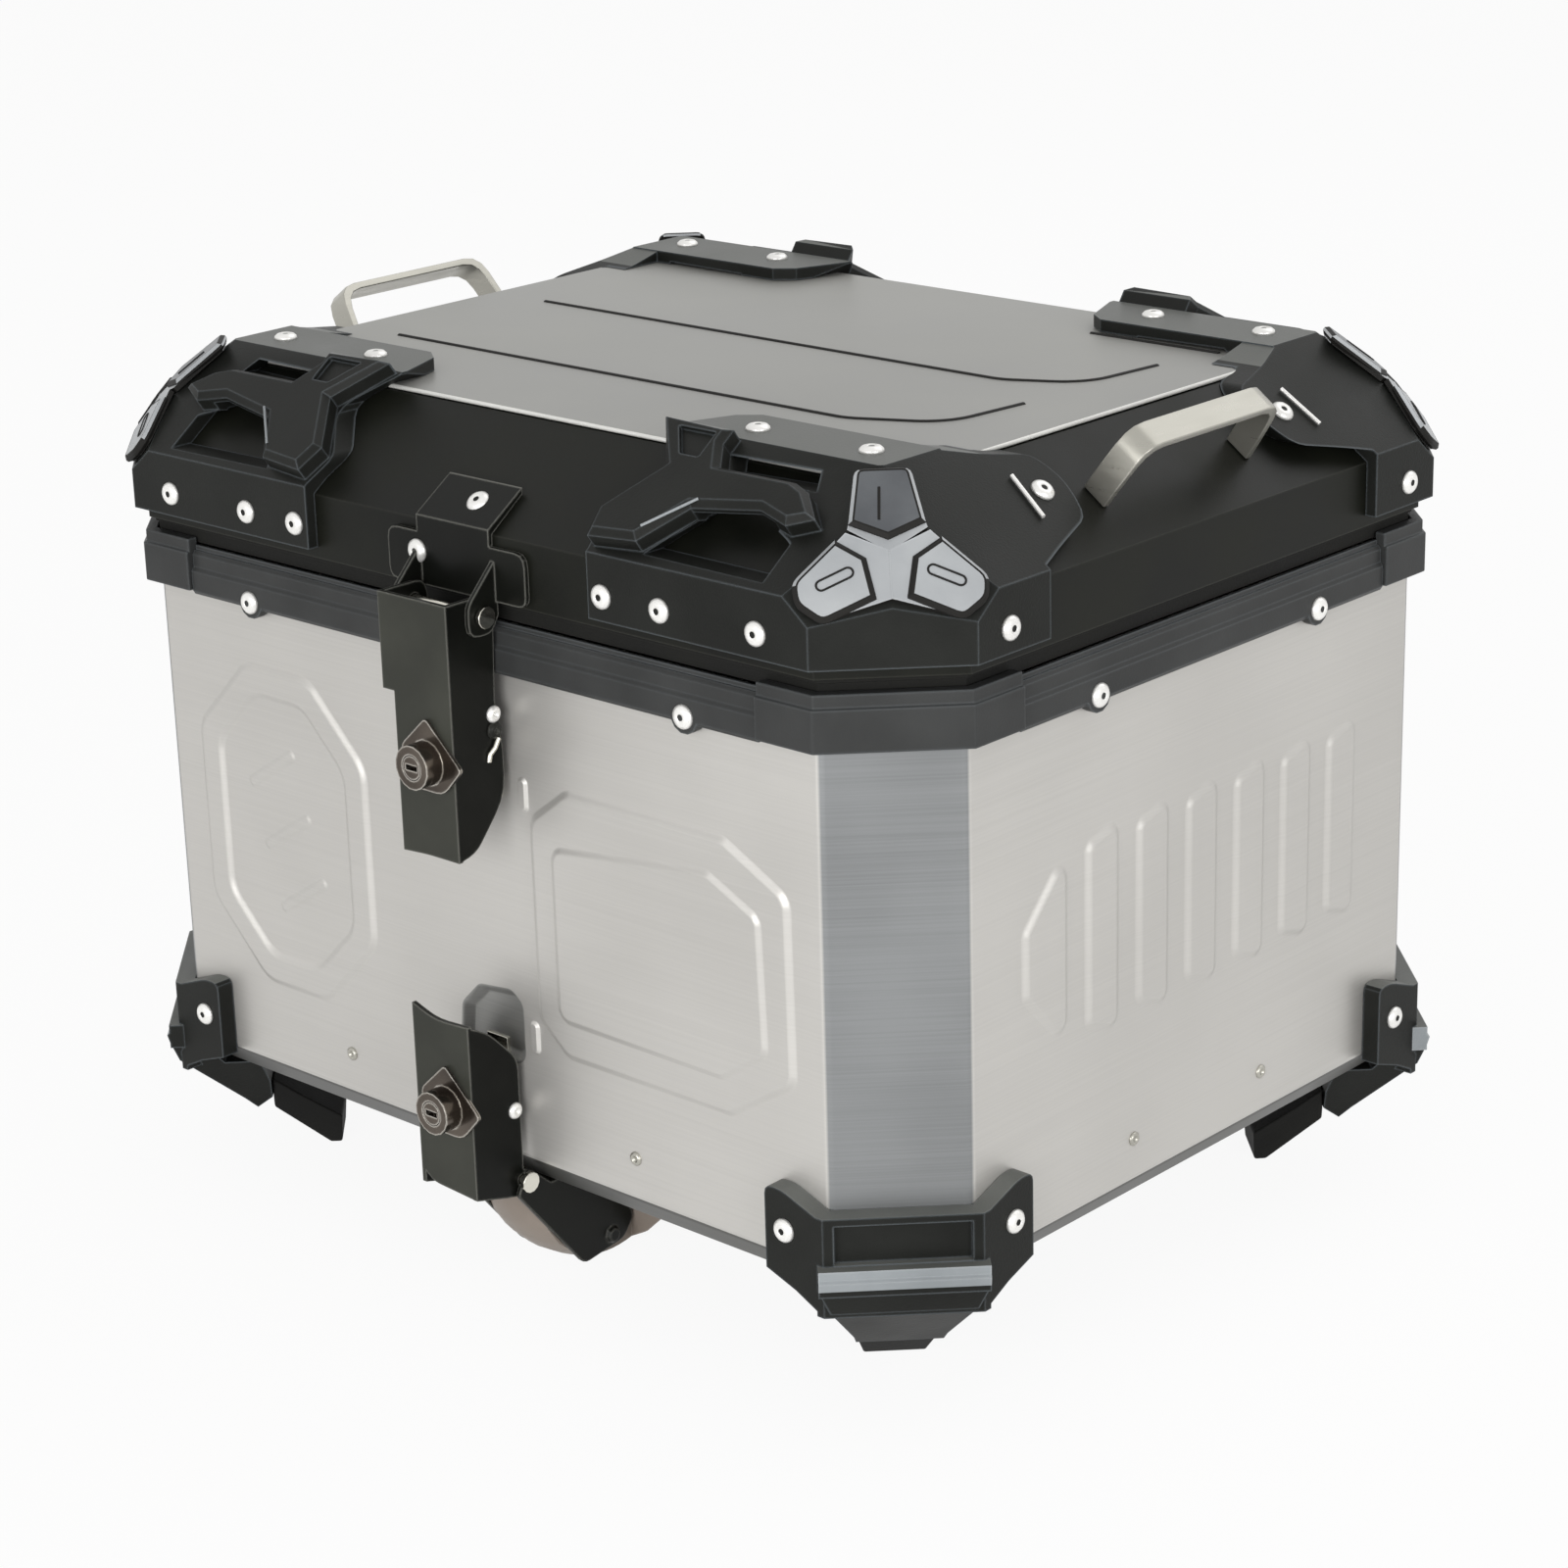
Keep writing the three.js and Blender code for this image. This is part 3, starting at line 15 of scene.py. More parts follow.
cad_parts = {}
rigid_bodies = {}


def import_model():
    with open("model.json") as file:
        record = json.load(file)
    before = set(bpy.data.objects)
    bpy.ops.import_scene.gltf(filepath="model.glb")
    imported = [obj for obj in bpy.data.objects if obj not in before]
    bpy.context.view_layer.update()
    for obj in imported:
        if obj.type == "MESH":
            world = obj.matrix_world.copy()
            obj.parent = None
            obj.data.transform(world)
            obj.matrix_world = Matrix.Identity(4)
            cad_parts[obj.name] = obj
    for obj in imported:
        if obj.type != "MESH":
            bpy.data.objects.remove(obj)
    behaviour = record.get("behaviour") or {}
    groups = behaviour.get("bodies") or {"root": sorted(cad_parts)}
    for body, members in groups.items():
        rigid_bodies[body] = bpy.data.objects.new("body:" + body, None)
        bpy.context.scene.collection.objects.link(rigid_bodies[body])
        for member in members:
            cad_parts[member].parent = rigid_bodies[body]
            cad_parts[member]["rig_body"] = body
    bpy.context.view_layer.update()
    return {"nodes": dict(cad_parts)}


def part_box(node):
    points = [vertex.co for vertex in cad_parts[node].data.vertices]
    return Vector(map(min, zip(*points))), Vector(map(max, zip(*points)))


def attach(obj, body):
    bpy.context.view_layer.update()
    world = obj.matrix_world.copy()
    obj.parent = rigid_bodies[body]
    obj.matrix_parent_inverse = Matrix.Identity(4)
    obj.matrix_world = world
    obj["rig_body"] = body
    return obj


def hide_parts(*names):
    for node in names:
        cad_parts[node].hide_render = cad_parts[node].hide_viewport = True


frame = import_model()
bpy.context.scene.view_settings.view_transform = "Standard"

# %% [markdown]
# ## Where things are
# The case was measured in millimetres from the fold at the foot of its tub, with the tub's middle
# at x = 0 and y = 0. The model stands on its feet with its box's middle at the origin, so
# everything that is modelled here in those millimetres is moved and scaled once, by one matrix. The
# shift is read from the lid and the tub, which keeps this script right if the feet or the latches
# change.

# %% A measured point, in millimetres, turned into a place in the scene
MM = 0.001
TUCK = 12
lid_low, lid_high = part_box("lid_shell")
shift = Vector((0, (lid_low.y + lid_high.y) / 2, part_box("body_shell")[0].z + TUCK * MM))
to_scene = Matrix.Translation(shift) @ Matrix.Scale(MM, 4)


def at(x, y, z):
    """Place in metres of a point measured in millimetres from the tub's fold."""
    return to_scene @ Vector((x, y, z))


print("shift in mm:", [round(v / MM, 2) for v in shift])

# %% [markdown]
# ## The camera
# The picture was taken from the right and a little above, with a long lens. The camera's place,
# turn and focal length were solved from the case's own straight edges, so the camera is written
# down as numbers: how far round, how high, how much it leans, how far away it stands, and the
# measured point that it looks at.

# %% Camera
AZIMUTH = math.radians(42.784)
ELEVATION = math.radians(19.107)
LEAN = math.radians(-1.604)
DISTANCE = 1.5413
FOCAL_PIXELS = 3873.85
IMAGE_PIXELS = 1600
SENSOR_MM = 36
AIM = (0.85, 0.79, 99.71)

back = Vector((
    math.sin(AZIMUTH) * math.cos(ELEVATION),
    -math.cos(AZIMUTH) * math.cos(ELEVATION),
    math.sin(ELEVATION),
))
level = Vector((0, 0, 1)).cross(back).normalized()
rise = back.cross(level)
right = level * math.cos(LEAN) + rise * math.sin(LEAN)
up = rise * math.cos(LEAN) - level * math.sin(LEAN)

camera = bpy.data.objects.new("camera", bpy.data.cameras.new("camera"))
camera.data.sensor_width = SENSOR_MM
camera.data.lens = SENSOR_MM * FOCAL_PIXELS / IMAGE_PIXELS
turn = Matrix((right, up, back)).transposed().to_4x4()
camera.matrix_world = Matrix.Translation(at(*AIM) + back * DISTANCE) @ turn
bpy.context.scene.collection.objects.link(camera)
bpy.context.scene.camera = camera
print("lens in mm:", round(camera.data.lens, 2))

# %% [markdown]
# ## The studio
# A product picture of metal needs large soft lamps, because metal shows what surrounds it. One big
# lamp stands in front and a second on the right. A third hangs behind and above, and it draws a
# sheen on the roof and the slopes. The floor is pale, and the camera and the reflections see a
# plain white world. The floor also glows for them, so that it stays white while it still keeps a
# little of the case's soft shadow.

# %% Lamps
def lamp(name, place, size, power, aim=(0, 0, 0.2)):
    """Rectangular area lamp that faces a point."""
    light = bpy.data.lights.new(name, "AREA")
    light.shape = "RECTANGLE"
    light.size, light.size_y = size
    light.energy = power
    thing = bpy.data.objects.new(name, light)
    thing.location = place
    thing.rotation_euler = (Vector(place) - Vector(aim)).to_track_quat("Z", "Y").to_euler()
    bpy.context.scene.collection.objects.link(thing)


lamp("front lamp", (0.55, -1.9, 0.5), (1.3, 0.9), 19, (0.1, 0, 0.05))
lamp("right lamp", (2.2, -0.7, 0.6), (1.2, 0.9), 17, (0, -0.05, 0.05))
lamp("rear lamp", (0.3, 1.5, 2.0), (2.2, 1.8), 11)


# %% Rays that go straight to the background: from the camera, off metal and through glass
def background_rays(tree):
    """1 for the rays that should see the plain white background, else 0."""
    path = tree.nodes.new("ShaderNodeLightPath")
    either = path.outputs["Is Camera Ray"]
    for other in ("Is Glossy Ray", "Is Transmission Ray"):
        add = tree.nodes.new("ShaderNodeMath")
        add.operation = "MAXIMUM"
        tree.links.new(either, add.inputs[0])
        tree.links.new(path.outputs[other], add.inputs[1])
        either = add.outputs[0]
    return either


# %% World: plain white for those rays, dimmer as a light
world = bpy.data.worlds.new("studio")
world.use_nodes = True
bpy.context.scene.world = world
nodes, links = world.node_tree.nodes, world.node_tree.links
nodes.clear()
surround = nodes.new("ShaderNodeBackground")
surround.inputs["Color"].default_value = (1, 0.99, 0.97, 1)
surround.inputs["Strength"].default_value = 0.5
white = nodes.new("ShaderNodeBackground")
white.inputs["Color"].default_value = (1, 1, 1, 1)
white.inputs["Strength"].default_value = 1
choose = nodes.new("ShaderNodeMixShader")
world_out = nodes.new("ShaderNodeOutputWorld")
links.new(background_rays(world.node_tree), choose.inputs["Fac"])
links.new(surround.outputs[0], choose.inputs[1])
links.new(white.outputs[0], choose.inputs[2])
links.new(choose.outputs[0], world_out.inputs["Surface"])

# %% Floor: matt for the lamps, and mostly a white glow for the same rays
FLOOR_GLOW = 0.92
floor_mesh = bmesh.new()
bmesh.ops.create_grid(floor_mesh, x_segments=1, y_segments=1, size=6)
floor_data = bpy.data.meshes.new("floor")
floor_mesh.to_mesh(floor_data)
floor_mesh.free()
floor = bpy.data.objects.new("floor", floor_data)
bpy.context.scene.collection.objects.link(floor)

pale = bpy.data.materials.new("pale floor")
pale.use_nodes = True
nodes, links = pale.node_tree.nodes, pale.node_tree.links
matt = nodes["Principled BSDF"]
matt.inputs["Base Color"].default_value = (0.92, 0.92, 0.92, 1)
matt.inputs["Roughness"].default_value = 0.9
glow = nodes.new("ShaderNodeEmission")
share = nodes.new("ShaderNodeMath")
share.operation = "MULTIPLY"
share.inputs[1].default_value = FLOOR_GLOW
blend = nodes.new("ShaderNodeMixShader")
links.new(background_rays(pale.node_tree), share.inputs[0])
links.new(share.outputs[0], blend.inputs["Fac"])
links.new(matt.outputs[0], blend.inputs[1])
links.new(glow.outputs[0], blend.inputs[2])
links.new(blend.outputs[0], nodes["Material Output"].inputs["Surface"])
floor_data.materials.append(pale)

# %% [markdown]
# ## Shared effects
# Several finishes use the same effects, so each effect is one node group with named sockets. The
# brushed effect stretches fine noise along the sheet. The grain effect is the pebbled skin of a
# moulding. The wear effect finds edges by comparing a rounded normal with the true one; the colour
# that finishes give those edges is partly wear and partly a painted highlight. The corner effect
# tells the tub's slanting corner faces from its straight walls, for their painted shade.

# %% Helpers that make an empty node group, and one step of arithmetic inside a node tree
def effect(name, takes, gives):
    """Node group that takes and gives numbers: returns its tree, input node and output node."""
    tree = bpy.data.node_groups.new(name, "ShaderNodeTree")
    for label, value in takes.items():
        socket = tree.interface.new_socket(label, in_out="INPUT", socket_type="NodeSocketFloat")
        socket.default_value = value
    for label in gives:
        tree.interface.new_socket(label, in_out="OUTPUT", socket_type="NodeSocketFloat")
    return tree, tree.nodes.new("NodeGroupInput"), tree.nodes.new("NodeGroupOutput")


def math_node(tree, operation, first, second=None):
    """Math node fed by sockets or numbers: returns its output."""
    node = tree.nodes.new("ShaderNodeMath")
    node.operation = operation
    for socket, value in zip(node.inputs, (first, second)):
        if isinstance(value, (int, float)):
            socket.default_value = value
        elif value is not None:
            tree.links.new(value, socket)
    return node.outputs[0]


# %% Brushed sheet: long fine streaks, and a slow cloud of stains over them
brushed, enter, leave = effect("brushed sheet", {"Along": 6, "Across": 900}, ["Streaks", "Clouds"])
coordinates = brushed.nodes.new("ShaderNodeTexCoord")
stretch = brushed.nodes.new("ShaderNodeVectorMath")
stretch.operation = "MULTIPLY"
scales = brushed.nodes.new("ShaderNodeCombineXYZ")
brushed.links.new(enter.outputs["Along"], scales.inputs["X"])
brushed.links.new(enter.outputs["Along"], scales.inputs["Y"])
brushed.links.new(enter.outputs["Across"], scales.inputs["Z"])
brushed.links.new(coordinates.outputs["Object"], stretch.inputs[0])
brushed.links.new(scales.outputs[0], stretch.inputs[1])
streaks = brushed.nodes.new("ShaderNodeTexNoise")
streaks.inputs["Scale"].default_value = 1
streaks.inputs["Detail"].default_value = 4
brushed.links.new(stretch.outputs[0], streaks.inputs["Vector"])
clouds = brushed.nodes.new("ShaderNodeTexNoise")
clouds.inputs["Scale"].default_value = 9
clouds.inputs["Detail"].default_value = 3
brushed.links.new(coordinates.outputs["Object"], clouds.inputs["Vector"])
brushed.links.new(streaks.outputs["Fac"], leave.inputs["Streaks"])
brushed.links.new(clouds.outputs["Fac"], leave.inputs["Clouds"])

# %% Moulded grain: small pebbles
grain, enter, leave = effect("moulded grain", {"Size": 900}, ["Pebbles", "Clouds"])
coordinates = grain.nodes.new("ShaderNodeTexCoord")
pebbles = grain.nodes.new("ShaderNodeTexVoronoi")
pebbles.feature = "SMOOTH_F1"
pebbles.inputs["Smoothness"].default_value = 0.6
grain.links.new(coordinates.outputs["Object"], pebbles.inputs["Vector"])
grain.links.new(enter.outputs["Size"], pebbles.inputs["Scale"])
clouds = grain.nodes.new("ShaderNodeTexNoise")
clouds.inputs["Scale"].default_value = 25
clouds.inputs["Detail"].default_value = 5
grain.links.new(coordinates.outputs["Object"], clouds.inputs["Vector"])
grain.links.new(pebbles.outputs["Distance"], leave.inputs["Pebbles"])
grain.links.new(clouds.outputs["Fac"], leave.inputs["Clouds"])

# %% Edge wear and painted highlight: 0 on a flat face, near 1 along an edge
WORN_AND_LIT_BAND = 0.0012
wear_and_highlight, enter, leave = effect("edge wear and highlight", {"Strength": 6}, ["Edges"])
soft = wear_and_highlight.nodes.new("ShaderNodeBevel")
soft.samples = 4
soft.inputs["Radius"].default_value = WORN_AND_LIT_BAND
true = wear_and_highlight.nodes.new("ShaderNodeNewGeometry")
agree = wear_and_highlight.nodes.new("ShaderNodeVectorMath")
agree.operation = "DOT_PRODUCT"
wear_and_highlight.links.new(soft.outputs[0], agree.inputs[0])
wear_and_highlight.links.new(true.outputs["Normal"], agree.inputs[1])
differ = math_node(wear_and_highlight, "SUBTRACT", 1.0, agree.outputs["Value"])
stronger = math_node(wear_and_highlight, "MULTIPLY", differ, enter.outputs["Strength"])
wear_and_highlight.links.new(math_node(wear_and_highlight, "MINIMUM", stronger, 1.0), leave.inputs["Edges"])

# %% Cut corner: 1 on the tub's four slanting corner faces, 0 on its straight walls
# On a slanting face the distances from the tub's two middle planes add up to more than the reach,
# in metres. The steepness takes the mask from 0 to 1 within a millimetre.
CORNER_REACH = 0.342
STEEPNESS = 1500.0
corner_face, enter, leave = effect("cut corner", {"Reach": CORNER_REACH}, ["Mask"])
coordinates = corner_face.nodes.new("ShaderNodeTexCoord")
split = corner_face.nodes.new("ShaderNodeSeparateXYZ")
corner_face.links.new(coordinates.outputs["Object"], split.inputs[0])
sideways = math_node(corner_face, "ABSOLUTE", split.outputs["X"])
centred = math_node(corner_face, "SUBTRACT", split.outputs["Y"], shift.y)
total = math_node(corner_face, "ADD", sideways, math_node(corner_face, "ABSOLUTE", centred))
beyond = math_node(corner_face, "SUBTRACT", total, enter.outputs["Reach"])
sharp_mask = math_node(corner_face, "MULTIPLY", beyond, STEEPNESS)
clamp = corner_face.nodes.new("ShaderNodeClamp")
corner_face.links.new(sharp_mask, clamp.inputs["Value"])
corner_face.links.new(clamp.outputs[0], leave.inputs["Mask"])
print("effects:", [g.name for g in bpy.data.node_groups])

# %% [markdown]
# ## Finishes
# Each finish is one Principled shader. A mask mixes two near colours, because no real surface is
# one flat colour, and a bump node gives the surface its fine relief. Metals keep a fairly high
# roughness: brushed sheet scatters light.

# %% Helpers that place an effect and a varied colour in a material
def material(name, roughness, metallic=0.0, gloss=0.5):
    """New material: returns it, its node tree and its Principled shader."""
    made = bpy.data.materials.new(name)
    made.use_nodes = True
    shader = made.node_tree.nodes["Principled BSDF"]
    shader.inputs["Roughness"].default_value = roughness
    shader.inputs["Metallic"].default_value = metallic
    shader.inputs["Specular IOR Level"].default_value = gloss
    return made, made.node_tree, shader


def place(tree, group, **values):
    """The group's node in a material, with its own input values."""
    node = tree.nodes.new("ShaderNodeGroup")
    node.node_tree = group
    for label, value in values.items():
        node.inputs[label].default_value = value
    return node


def linear(code):
    """Screen colour, as red, green and blue of 255, turned into light by the sRGB curve."""
    return tuple(((c / 255 + 0.055) / 1.055) ** 2.4 if c > 10 else c / 255 / 12.92 for c in code)


def between(tree, mask, low, high):
    """Colour that goes from `low` to `high` with a mask. Each is a screen colour or a socket."""
    mix = tree.nodes.new("ShaderNodeMix")
    mix.data_type = "RGBA"
    for label, colour in (("A", low), ("B", high)):
        if isinstance(colour, tuple):
            mix.inputs[label].default_value = (*linear(colour), 1)
        else:
            tree.links.new(colour, mix.inputs[label])
    tree.links.new(mask, mix.inputs["Factor"])
    return mix.outputs["Result"]


def spread(tree, mask, low, high, out_low, out_high):
    """Mask stretched from one range to another: returns its output."""
    node = tree.nodes.new("ShaderNodeMapRange")
    tree.links.new(mask, node.inputs["Value"])
    ranges = {"From Min": low, "From Max": high, "To Min": out_low, "To Max": out_high}
    for label, value in ranges.items():
        node.inputs[label].default_value = value
    return node.outputs["Result"]


def bump(tree, shader, height, distance, strength=1.0):
    """Bump of a depth in metres on a shader's normal."""
    node = tree.nodes.new("ShaderNodeBump")
    node.inputs["Distance"].default_value = distance
    node.inputs["Strength"].default_value = strength
    tree.links.new(height, node.inputs["Height"])
    tree.links.new(node.outputs[0], shader.inputs["Normal"])


# %% Brushed aluminium: the tub with painted shade on its cut corners, foot and pocket, and the roof panel with a painted highlight on its edges
# The streaks make up this share of the tone, and the clouds the rest.
STREAK_SHARE = 0.35


def aluminium(name, dark, light, metallic=0.6):
    """Brushed sheet between two screen colours: returns the material, its colour and its mask."""
    made, tree, shader = material(name, 0.42, metallic)
    sheet = place(tree, brushed, Along=5, Across=1300)
    streak = math_node(tree, "MULTIPLY", sheet.outputs["Streaks"], STREAK_SHARE)
    cloud = math_node(tree, "MULTIPLY", sheet.outputs["Clouds"], 1 - STREAK_SHARE)
    fine = spread(tree, math_node(tree, "ADD", streak, cloud), 0.38, 0.62, 0, 1)
    colour = between(tree, fine, dark, light)
    tree.links.new(colour, shader.inputs["Base Color"])
    rough = spread(tree, sheet.outputs["Clouds"], 0.3, 0.7, 0.38, 0.5)
    tree.links.new(rough, shader.inputs["Roughness"])
    bump(tree, shader, sheet.outputs["Streaks"], 0.00004, 0.4)
    return made, colour, fine


tub_metal, walls, fine = aluminium("tub aluminium", (187, 185, 181), (195, 193, 189))
tree = tub_metal.node_tree
# Painted shade: the cut corners are the same sheet, but take a darker, bluer colour, a painted dark
# reflection.
corners = between(tree, fine, (118, 120, 121), (134, 136, 137))
mask = place(tree, corner_face).outputs["Mask"]
tub_shader = tree.nodes["Principled BSDF"]
tree.links.new(between(tree, mask, walls, corners), tub_shader.inputs["Base Color"])
# Painted shade for the tucked foot, and painted shade for the pocket below.
foot_shade_metal = aluminium("foot aluminium with painted shade", (72, 72, 70), (88, 88, 85))[0]
pocket_shade_metal = aluminium("pocket aluminium with painted shade", (138, 138, 136), (150, 150, 147))[0]
panel_metal = aluminium("panel aluminium", (148, 148, 145), (162, 162, 158), 0.2)[0]
# Painted highlight for the roof panel's rounded edges.
edge_highlight_metal = aluminium("sheet edge with painted highlight", (212, 212, 208), (226, 226, 222), 0.3)[0]


# %% Mouldings, paint, lacquer and rubber
def moulding(name, dark, light, worn_and_lit, roughness, size, depth, edges=5, metallic=0.0, gloss=0.18):
    """Grained or lacquered surface between two screen colours, with a third along edges,
    which is partly wear and partly a painted highlight.
    """
    made, tree, shader = material(name, roughness, metallic, gloss)
    skin = place(tree, grain, Size=size)
    rubbed_and_lit = place(tree, wear_and_highlight, Strength=edges)
    tone = spread(tree, skin.outputs["Clouds"], 0.35, 0.65, 0, 1)
    edge = math_node(tree, "MULTIPLY", rubbed_and_lit.outputs["Edges"], 0.7)
    colour = between(tree, edge, between(tree, tone, dark, light), worn_and_lit)
    tree.links.new(colour, shader.inputs["Base Color"])
    rough = spread(tree, skin.outputs["Clouds"], 0.3, 0.7, roughness - 0.06, roughness + 0.06)
    tree.links.new(rough, shader.inputs["Roughness"])
    bump(tree, shader, skin.outputs["Pebbles"], depth, 0.6)
    return made


black_plastic = moulding(
    "black moulding", (24, 25, 23), (32, 33, 31), (98, 104, 108), 0.44, 1400, 0.00008, 7,
    gloss=0.13)
# Painted highlight: a lighter copy of the black moulding, for the lower guards' bars and the bridge
# strokes.
highlight_plastic = moulding(
    "painted highlight moulding", (128, 133, 136), (144, 149, 152), (166, 170, 173), 0.4, 1400, 0.00006)
# Painted sheen: a lighter copy of the black moulding for flat flanges and ledges.
flange_sheen_plastic = moulding(
    "flange moulding with painted sheen", (96, 98, 95), (108, 110, 107), (128, 131, 129), 0.44, 1400, 0.00008)
rim_plastic = moulding(
    "black rim moulding", (46, 47, 47), (56, 57, 57), (98, 103, 106), 0.4, 1400, 0.00006, 6)
lid_paint = moulding(
    "black lid paint", (15, 16, 13), (23, 24, 19), (62, 62, 57), 0.42, 2200, 0.00004, 4, gloss=0.14)
latch_paint = moulding(
    "black latch paint", (13, 14, 12), (20, 21, 18), (128, 128, 122), 0.36, 1800, 0.00003, 8,
    gloss=0.12)
# Painted highlight: a lighter copy of the latch paint for the latches' front webs.
latch_front_highlight = moulding(
    "latch paint with painted highlight", (50, 51, 46), (60, 61, 55), (120, 120, 114), 0.36, 1800, 0.00003, 6,
    gloss=0.12)
rubber = moulding(
    "black rubber", (20, 20, 19), (27, 27, 25), (44, 44, 42), 0.75, 900, 0.0001, 2)
tile_lacquer = moulding(
    "silver lacquer", (160, 163, 166), (177, 180, 182), (200, 203, 206), 0.36, 1600, 0.00004, 3,
    0.4)
# Painted shade: the darker copy of the silver lacquer for each trim's top plate.
top_plate_shade_lacquer = moulding(
    "silver lacquer with painted shade", (82, 84, 88), (104, 107, 110), (160, 163, 168), 0.34, 1600, 0.00004, 3,
    0.4)
# Painted shade: the roof's pressed grooves, the clip slots and the gaps round the trim plates.
shade_line = moulding(
    "painted shade line", (22, 21, 20), (30, 29, 27), (40, 40, 38), 0.6, 1600, 0.00002, 1)
dish_paint = moulding(
    "dish lacquer", (124, 114, 105), (140, 130, 121), (180, 174, 168), 0.4, 1600, 0.00003, 2)


# %% Polished metal, and chrome that is dark from a painted dark reflection and shines along its edges with a painted highlight
def polished(name, colour, roughness, metallic=1.0):
    """Bright metal with fine scratches and slightly uneven tone."""
    made, tree, shader = material(name, roughness, metallic)
    sheet = place(tree, brushed, Along=60, Across=700)
    tone = spread(tree, sheet.outputs["Clouds"], 0.3, 0.7, 0, 1)
    darker = tuple(c * 0.93 for c in colour)
    tree.links.new(between(tree, tone, darker, colour), shader.inputs["Base Color"])
    rough = spread(tree, sheet.outputs["Streaks"], 0.3, 0.7, roughness - 0.04, roughness + 0.06)
    tree.links.new(rough, shader.inputs["Roughness"])
    return made


bright_steel = polished("bright steel", (222, 219, 208), 0.2)
handle_steel = polished("handle steel", (176, 174, 165), 0.3, 0.75)
rivet_steel = polished("rivet steel", (244, 243, 240), 0.32, 0.5)
# The chrome's dark tones are a painted dark reflection, and its bright edges a painted highlight.
chrome = moulding(
    "lock chrome", (52, 46, 42), (96, 88, 80), (236, 231, 222), 0.16, 300, 0.00002, 10, 0.9, 0.5)
print("finishes:", len(bpy.data.materials))

# %% [markdown]
# ## Turning a mesh into a piece
# Every piece ends the same way: its mesh is stored, its object stays at the origin, and the piece
# rides on a CAD body. The weighted normal modifier keeps large faces flat while narrow bevels and
# pressed slopes shade round.

# %% Keep a mesh as a piece
def keep(mesh, name, finishes, slot, body, *nodes, wall=0):
    """Stores a mesh in metres as a piece that rides on a body and may replace CAD nodes.
    An open skin gets `wall` as its thickness, on its inner side."""
    for face in mesh.faces:
        face.smooth = True
    data = bpy.data.meshes.new(name)
    mesh.to_mesh(data)
    mesh.free()
    for finish in finishes if isinstance(finishes, (list, tuple)) else [finishes]:
        data.materials.append(finish)
    piece = bpy.data.objects.new(name, data)
    bpy.context.scene.collection.objects.link(piece)
    if wall:
        thick = piece.modifiers.new("sheet", "SOLIDIFY")
        thick.thickness = wall
        thick.offset = -1
    weighted = piece.modifiers.new("flat faces", "WEIGHTED_NORMAL")
    weighted.keep_sharp = True
    weighted.weight = 100
    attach(piece, body)
    if nodes:
        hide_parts(*nodes)


BODY = frame["nodes"]["body_shell"]["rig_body"]
LID = frame["nodes"]["lid_shell"]["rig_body"]
print("body and lid:", BODY, LID)

# %% [markdown]
# ## The pressed tub
# The real tub is one aluminium sheet, folded into eight walls, with reliefs that a press has pushed
# out of it. A relief that is only laid on a wall shows a hard edge, because the sheet can't bend
# there. So each wall's face is cut along the relief's outline and the face inside is then inset in
# small steps, each a little higher, which follows the soft S of pressed metal. At the end the whole
# skin gets its thickness, and so the reliefs also show inside, as they do in the real tub.

# %% Block with four cut corners, a tucked foot and rounded folds
BODY_W, BODY_D, BODY_H = 420, 338, 212.6
CORNER_CUT = 35.7
TUCK_IN = 10
FOLD_R = 2.2
SHEET = 2
ALIGNED = 0.999


def cut_block(width, depth, low, high, cut):
    """Box in millimetres whose four upright edges are cut off at 45 degrees."""
    mesh = bmesh.new()
    bmesh.ops.create_cube(mesh, size=1)
    bmesh.ops.scale(mesh, vec=(width, depth, high - low), verts=mesh.verts)
    bmesh.ops.translate(mesh, vec=(0, 0, (low + high) / 2), verts=mesh.verts)
    upright = [e for e in mesh.edges if abs(e.verts[0].co.z - e.verts[1].co.z) > 1]
    bmesh.ops.bevel(mesh, geom=upright, offset=cut, offset_type="OFFSET", affect="EDGES",
                    segments=1, profile=0.5, material=-1)
    return mesh


def facing(mesh, direction):
    """The largest face that looks in a direction, as far as the cosine `ALIGNED` tells."""
    mesh.normal_update()
    seen = [f for f in mesh.faces if f.normal.dot(Vector(direction)) > ALIGNED]
    return max(seen, key=lambda f: f.calc_area())


tub = cut_block(BODY_W, BODY_D, 0, BODY_H, CORNER_CUT)
foot = facing(tub, (0, 0, -1))
bmesh.ops.inset_region(tub, faces=[foot], thickness=TUCK_IN, depth=0, use_even_offset=True)
bmesh.ops.translate(tub, vec=(0, 0, -TUCK), verts=foot.verts[:])
folds = [e for e in tub.edges if min(v.co.z for v in e.verts) < BODY_H - 1]
bmesh.ops.bevel(tub, geom=folds, offset=FOLD_R, offset_type="OFFSET", affect="EDGES", segments=4,
                profile=0.5, material=-1, clamp_overlap=True)
bmesh.ops.delete(tub, geom=[facing(tub, (0, 0, 1))], context="FACES_ONLY")
print("tub skin faces:", len(tub.faces))


# %% Helpers: a rounded outline, and a relief pressed along it
CLOSEST = 0.02


